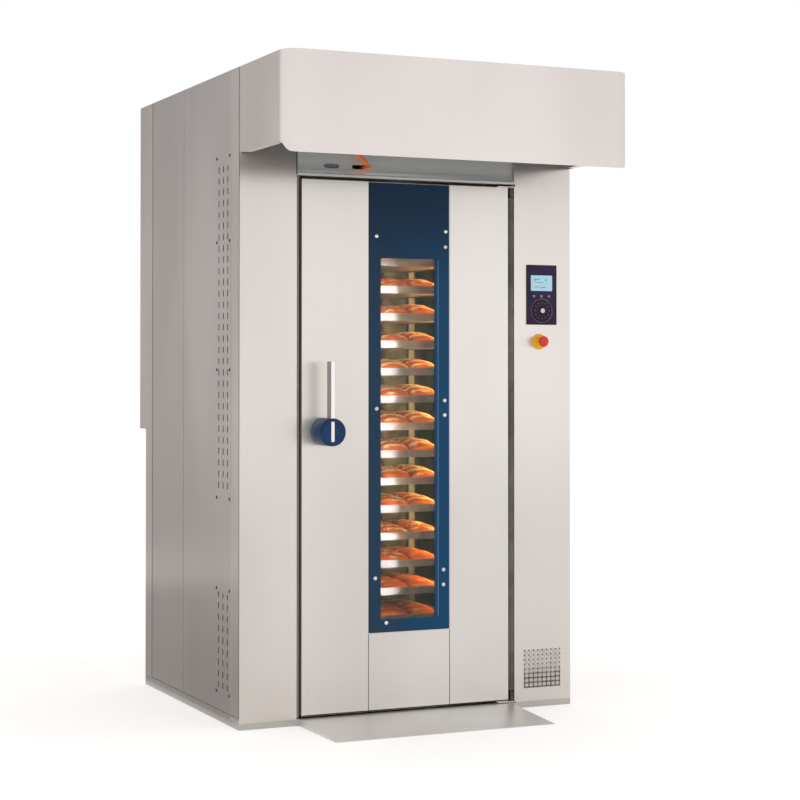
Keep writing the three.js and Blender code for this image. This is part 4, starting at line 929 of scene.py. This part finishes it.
def handleDrum():
    # a profile carried round the shaft: a flat face, a small round at the front and a large one
    # at the rear; the bar's slot is cut out afterwards
    s = drum
    low, high = corners("handle_hub")
    centre, radius, face = (low + high) / 2, (high[0] - low[0]) / 2, low[1]
    rear = corners("door_left_panel")[0][1] - 1 * mm
    profile = [(0, face)]
    profile += arc(radius - s["frontRound"], face + s["frontRound"], s["frontRound"], -90, 0, 8)
    profile += arc(radius - s["rearRound"], rear - s["rearRound"], s["rearRound"], 0, 90, 10)
    profile += [(s["shaft"], rear), (s["shaft"], high[1]), (0, high[1])]
    piece = turnedPiece("handle_drum", profile, centre, 96, "bluePlastic", "handle", "blue_paint",
                        ["handle_hub"])
    barLow, barHigh = corners("handle_bar")
    left, foot = barLow[0] - s["slotPlay"], barLow[2] - s["slotPlay"]
    right = barHigh[0] + s["slotPlay"]
    cutBox(piece, (left, barLow[1], foot), (right, barHigh[1] + s["slotPlay"], centre[2] + radius + 10 * mm))
    cutBox(piece, (left, face - 10 * mm, foot), (right, barLow[1] + 1 * mm, s["slotTop"]))
    piece.data.set_sharp_from_angle(angle=sharpEdge)


blade = {"rearEase": 0.4 * mm, "frontEase": 1.2 * mm, "radius": 2 * mm}


def handleBlade():
    # the flat bar let into the drum: a prism with eased edges, its white front painted light and its darker
    # flanks painted shade
    s = blade
    low, high = corners("handle_bar")
    (x, _, z), (wide, deep, tall) = (low + high) / 2, high - low
    levels = [(s["rearEase"], 0), (0, s["rearEase"]), (0, deep - s["frontEase"]), (0.4 * mm, deep - 0.4 * mm),
              (s["frontEase"], deep)]
    bar = platePoints((x, high[1], z), wide / 2, tall / 2, s["radius"], levels, steps=4)
    piece = platePiece("handle_blade", [bar], "barFront", "handle", "stainless", ["handle_bar"])
    piece.data.materials.append(finishes["shadedBarFlank"])
    # painted shade: the faces turned sideways take the darker flank copy
    shadedFlank = np.abs(faceValues(piece.data, "normal")[0]) > 0.7
    piece.data.polygons.foreach_set("material_index", shadedFlank.astype(np.int32))


handleDrum()
handleBlade()
print("handle set")


# loaves
loaf = {
    "across": 5,
    "pitch": 118 * mm,
    "width": 118 * mm,
    "length": 444 * mm,
    "height": 62 * mm,
    "endHeight": 0.5,  # share of the height that is left at the ends
    "cuts": 7,
    "cutDepth": 4.5 * mm,
    "trayFloor": 1.8 * mm,
    "rise": (0.68, 0.7, 0.74, 0.8, 0.9, 1, 1, 1, 1, 1, 1, 1, 1, 1),  # share of the height, tray by tray
    # share of flour and painted highlight, tray by tray: the lower trays get less, as painted shade
    "flourAndHighlightByTray": (0.3, 0.3, 0.4, 0.6, 0.8, 1, 1, 1, 1, 1, 0.8, 0.6, 0.5, 0.5),  # from the lowest tray up
}


def loafPoints(centre, seed, rise, sections=56, around=28):
    # a long loaf: along it the girth follows a super-ellipse and the height a shallow arch;
    # round it the section is a half super-ellipse on a flat foot, and slanting cuts open its top
    s = loaf
    draw = np.random.default_rng(seed)
    along = np.sin(np.linspace(-math.pi / 2, math.pi / 2, sections))[:, None]
    angle = np.linspace(0, 2 * math.pi, around, endpoint=False)[None, :]
    girth = np.sqrt(1 - np.abs(along) ** 6)
    sway = 1 + 0.03 * np.sin(3.1 * along * math.pi + draw.uniform(0, 6))
    width = s["width"] / 2 * draw.uniform(0.97, 1.02)
    height = s["height"] * rise * draw.uniform(0.94, 1.06)
    arch = s["endHeight"] + (1 - s["endHeight"]) * (1 - along**2)
    side, lift = np.sin(angle), np.cos(angle)
    crust, foot = 0.22 + 0.78 * arch * np.abs(lift) ** 0.8, 0.22 * (1 - np.abs(lift) ** 0.5)
    x = width * girth * sway * np.sign(side) * np.abs(side) ** 0.85
    y = np.broadcast_to(s["length"] / 2 * along, x.shape)
    z = height * np.where(lift > 0, crust, foot) * girth
    slant = np.sin((along * s["cuts"] + side * 0.9) * math.pi + draw.uniform(0, 6))
    crown = np.clip((lift - 0.3) / 0.4, 0, 1) * np.clip((0.9 - np.abs(along)) / 0.12, 0, 1)
    z = np.maximum(z + s["cutDepth"] * slant * crown, 0)
    opened = np.clip(slant * 1.2, 0, 1) * crown
    return (np.stack([x, y, z], axis=-1).reshape(-1, 3) + centre, sections, around), opened.reshape(-1)


def trayOfLoaves(index):
    # a row of loaves on one tray, with how far each point has opened in the oven, times the tray's share of
    # flour and painted highlight, as an attribute
    floor = corners(f"tray_{index:02d}")[0][2] + loaf["trayFloor"]
    parts, cuts = [], []
    for place in range(loaf["across"]):
        x = (place - (loaf["across"] - 1) / 2) * loaf["pitch"] + rng.uniform(-2, 2) * mm
        y = rng.uniform(-4, 4) * mm
        part, opened = loafPoints((x, y, floor), index * 10 + place, loaf["rise"][index - 1])
        parts.append(part)
        cuts.append(opened * loaf["flourAndHighlightByTray"][index - 1])
    points, faces = gather(parts)
    mesh = bpy.data.meshes.new(f"loaves_{index:02d}")
    mesh.from_pydata(points.tolist(), [], faces.tolist())
    mark = mesh.attributes.new("opened", "FLOAT", "POINT")
    mark.data.foreach_set("value", np.concatenate(cuts).astype(np.float32))
    closeMesh(mesh, 1e-5)
    placePiece(mesh.name, mesh, "crust", "rotor")


trayCount = sum(name.startswith("tray_") for name in nodes)
for index in range(1, trayCount + 1):
    trayOfLoaves(index)
print("loaves set on", trayCount, "trays")


# floor, cards and world
studio = {
    "floorReach": 40.0,
    "floorGlow": 0.31,
    "glossShare": 0.5,  # of the floor's glow
    "lean": (0.41, -0.91, 0.0),  # directions against this one are behind the oven on the left
    "leanRange": (-0.99, -0.93),
    "glossDim": 0.5,  # the world's level for gloss, behind the oven on the left
    "diffuse": 0.8,  # the world's level for the light on surfaces
}


def studioWhite(name, glow):
    # a matt white floor that adds light of its own where the camera or glass looks, and some
    # where gloss looks, so that it reaches white and still keeps the shadow
    mat, tree, _ = openFinish(name)
    paths = addNode(tree, "ShaderNodeLightPath").outputs
    gloss = addNode(tree, "ShaderNodeMapRange", {4: studio["glossShare"]}, {0: paths["Is Glossy Ray"]})
    first = addNode(tree, "ShaderNodeMath", {"operation": "MAXIMUM"}, {0: paths["Is Camera Ray"], 1: gloss})
    seen = addNode(tree, "ShaderNodeMath", {"operation": "MAXIMUM"},
                   {0: first, 1: paths["Is Transmission Ray"]})
    strength = addNode(tree, "ShaderNodeMapRange", {4: glow}, {0: seen})
    return closeFinish(mat, {"Base Color": srgb("#f4f2f0"), "Roughness": 0.9, "Emission Color": (1, 1, 1, 1)},
                       {"Emission Strength": strength})


def addFloor():
    # a smooth pale floor that runs out of view: a flat grid of nine lines each way
    line = np.linspace(-studio["floorReach"], studio["floorReach"], 9)
    x, y = np.meshgrid(line, line)
    points = np.stack([x.ravel(), y.ravel(), np.zeros(x.size)], axis=-1)
    mesh = bpy.data.meshes.new("studio_floor")
    mesh.from_pydata(points.tolist(), [], gridFaces(len(line), len(line), False).tolist())
    mesh.materials.append(studioWhite("studioFloor", studio["floorGlow"]))
    addObject("studio_floor", mesh)


def addWorld():
    # white where the camera, gloss and glass look, and less for gloss behind the oven on the
    # left; a softer level lights the surfaces
    world = bpy.data.worlds.new("studioWorld")
    bpy.context.scene.world = world
    world.use_nodes = True
    tree = world.node_tree
    tree.nodes.clear()
    paths = addNode(tree, "ShaderNodeLightPath").outputs
    direction = addNode(tree, "ShaderNodeTexCoord").outputs["Generated"]
    lean = addNode(tree, "ShaderNodeVectorMath", {"operation": "DOT_PRODUCT", 1: studio["lean"]},
                   {0: direction})
    start, stop = studio["leanRange"]
    glossLevel = addNode(tree, "ShaderNodeMapRange", {**eased, 1: start, 2: stop, 3: studio["glossDim"]},
                         {0: lean.outputs["Value"]})
    level = addNode(tree, "ShaderNodeMix", {3: studio["diffuse"]},
                    {0: paths["Is Diffuse Ray"], 2: glossLevel})
    grey = addNode(tree, "ShaderNodeBackground", {"Color": srgb("#ffffff")}, {"Strength": level})
    white = addNode(tree, "ShaderNodeBackground", {"Color": srgb("#ffffff"), "Strength": 1.0})
    seen = addNode(tree, "ShaderNodeMath", {"operation": "MAXIMUM"},
                   {0: paths["Is Camera Ray"], 1: paths["Is Transmission Ray"]})
    mixed = addNode(tree, "ShaderNodeMixShader", None, {0: seen, 1: grey, 2: white})
    addNode(tree, "ShaderNodeOutputWorld", None, {"Surface": mixed})


greyCards = {
    "farX": -2.4,
    "nearX": -0.7,
    "uprightY": (1.7, 9.0),
    "floorY": (-0.45, 4.0),
    "low": 3 * mm,
    "height": 4.2,
    "tint": "#fff4f1",
    "levels": [(0.0, 0.27), (0.25, 0.42), (0.4, 0.4), (0.75, 0.22), (1.0, 0.21)],  # share of the height, glow
}


def addFlag():
    # grey cards left of the oven and behind it that only gloss sees: one upright and one flat on
    # the floor; they give the side its calm darker tone, deepest near the floor
    s = greyCards
    x, low, high = s["farX"], s["low"], s["height"]
    (nearY, farY), (frontY, backY) = s["uprightY"], s["floorY"]
    points = [(x, nearY, low), (x, farY, low), (x, farY, high), (x, nearY, high),
              (s["nearX"], frontY, low), (s["nearX"], backY, low), (x, backY, low), (x, frontY, low)]
    mesh = bpy.data.meshes.new("grey_flag")
    mesh.from_pydata(points, [], [(0, 1, 2, 3), (4, 5, 6, 7)])
    mat, tree, place = openFinish("greyFlagCard")
    up = addNode(tree, "ShaderNodeSeparateXYZ", None, {0: place}).outputs[2]
    share = addNode(tree, "ShaderNodeMapRange", {2: high}, {0: up})
    glow = addNode(tree, "ShaderNodeValToRGB", None, {0: share})
    stops = glow.color_ramp.elements
    while len(stops) < len(s["levels"]):
        stops.new(0.5)
    for stop, (position, value) in zip(stops, s["levels"]):
        stop.position = position
        stop.color = (value, value, value, 1)
    closeFinish(mat, {"Base Color": (0, 0, 0, 1), "Roughness": 1.0, "Emission Color": srgb(s["tint"])},
                {"Emission Strength": glow})
    mesh.materials.append(mat)
    card = addObject("grey_flag", mesh)
    for ray in ("camera", "diffuse", "transmission", "shadow"):
        setattr(card, f"visible_{ray}", False)


addFloor()
addFlag()
addWorld()


# lamps
studioLamps = {
    "softKey": {"place": (3.9, -7.0, 1.5), "target": (0.2, -0.4, 1.2), "size": (3.0, 2.0), "watts": 9},
    "softTop": {"place": (-0.5, -1.6, 5.5), "target": (0, 0, 1.0), "size": (3.0, 3.0), "watts": 20},
}
ovenLamps = {
    "lampLeft": {"place": (-0.36, -0.43, 1.16), "target": (0.15, -0.1, 1.16), "size": (0.04, 1.52),
                 "watts": 20, "colour": "#fff2e4"},
    "lampRight": {"place": (0.375, -0.19, 1.16), "target": (-0.2, 0.05, 1.16), "size": (0.03, 1.52),
                  "watts": 26, "colour": "#ffdf90"},
}
daylight = {"behind": 8 * mm, "margin": 30 * mm, "watts": 1.3, "spread": 12}


def addLamp(name, place, target, size, watts, colour="#ffffff"):
    data = bpy.data.lights.new(name, "AREA")
    data.shape = "RECTANGLE"
    data.size, data.size_y = size
    data.energy = watts
    data.color = srgb(colour)[:3]
    lamp = addObject(name, data)
    lamp.location = place
    lamp.rotation_euler = (Vector(target) - Vector(place)).to_track_quat("-Z", "Y").to_euler()
    return lamp


def chamberLight():
    # daylight straight through the window, a tall oven lamp in the left front corner that lights
    # the loaves, and a yellow one at the right that warms the trays
    low, high = corners("outer_glass")
    x, _, z = (low + high) / 2
    y = corners("inner_glass")[1][1] + daylight["behind"]
    size = (high[0] - low[0] - daylight["margin"], high[2] - low[2] - daylight["margin"])
    day = addLamp("windowDaylight", (x, y, z), (x, 1.0, z), size, daylight["watts"])
    day.data.spread = math.radians(daylight["spread"])
    left, right = (addLamp(name, **settings) for name, settings in ovenLamps.items())
    for lamp in (day, left, right):
        lamp.visible_camera = lamp.visible_transmission = False
    left.visible_glossy = False


for name, settings in studioLamps.items():
    addLamp(name, **settings)
chamberLight()
bpy.context.scene.view_settings.view_transform = "Standard"
print("studio set")
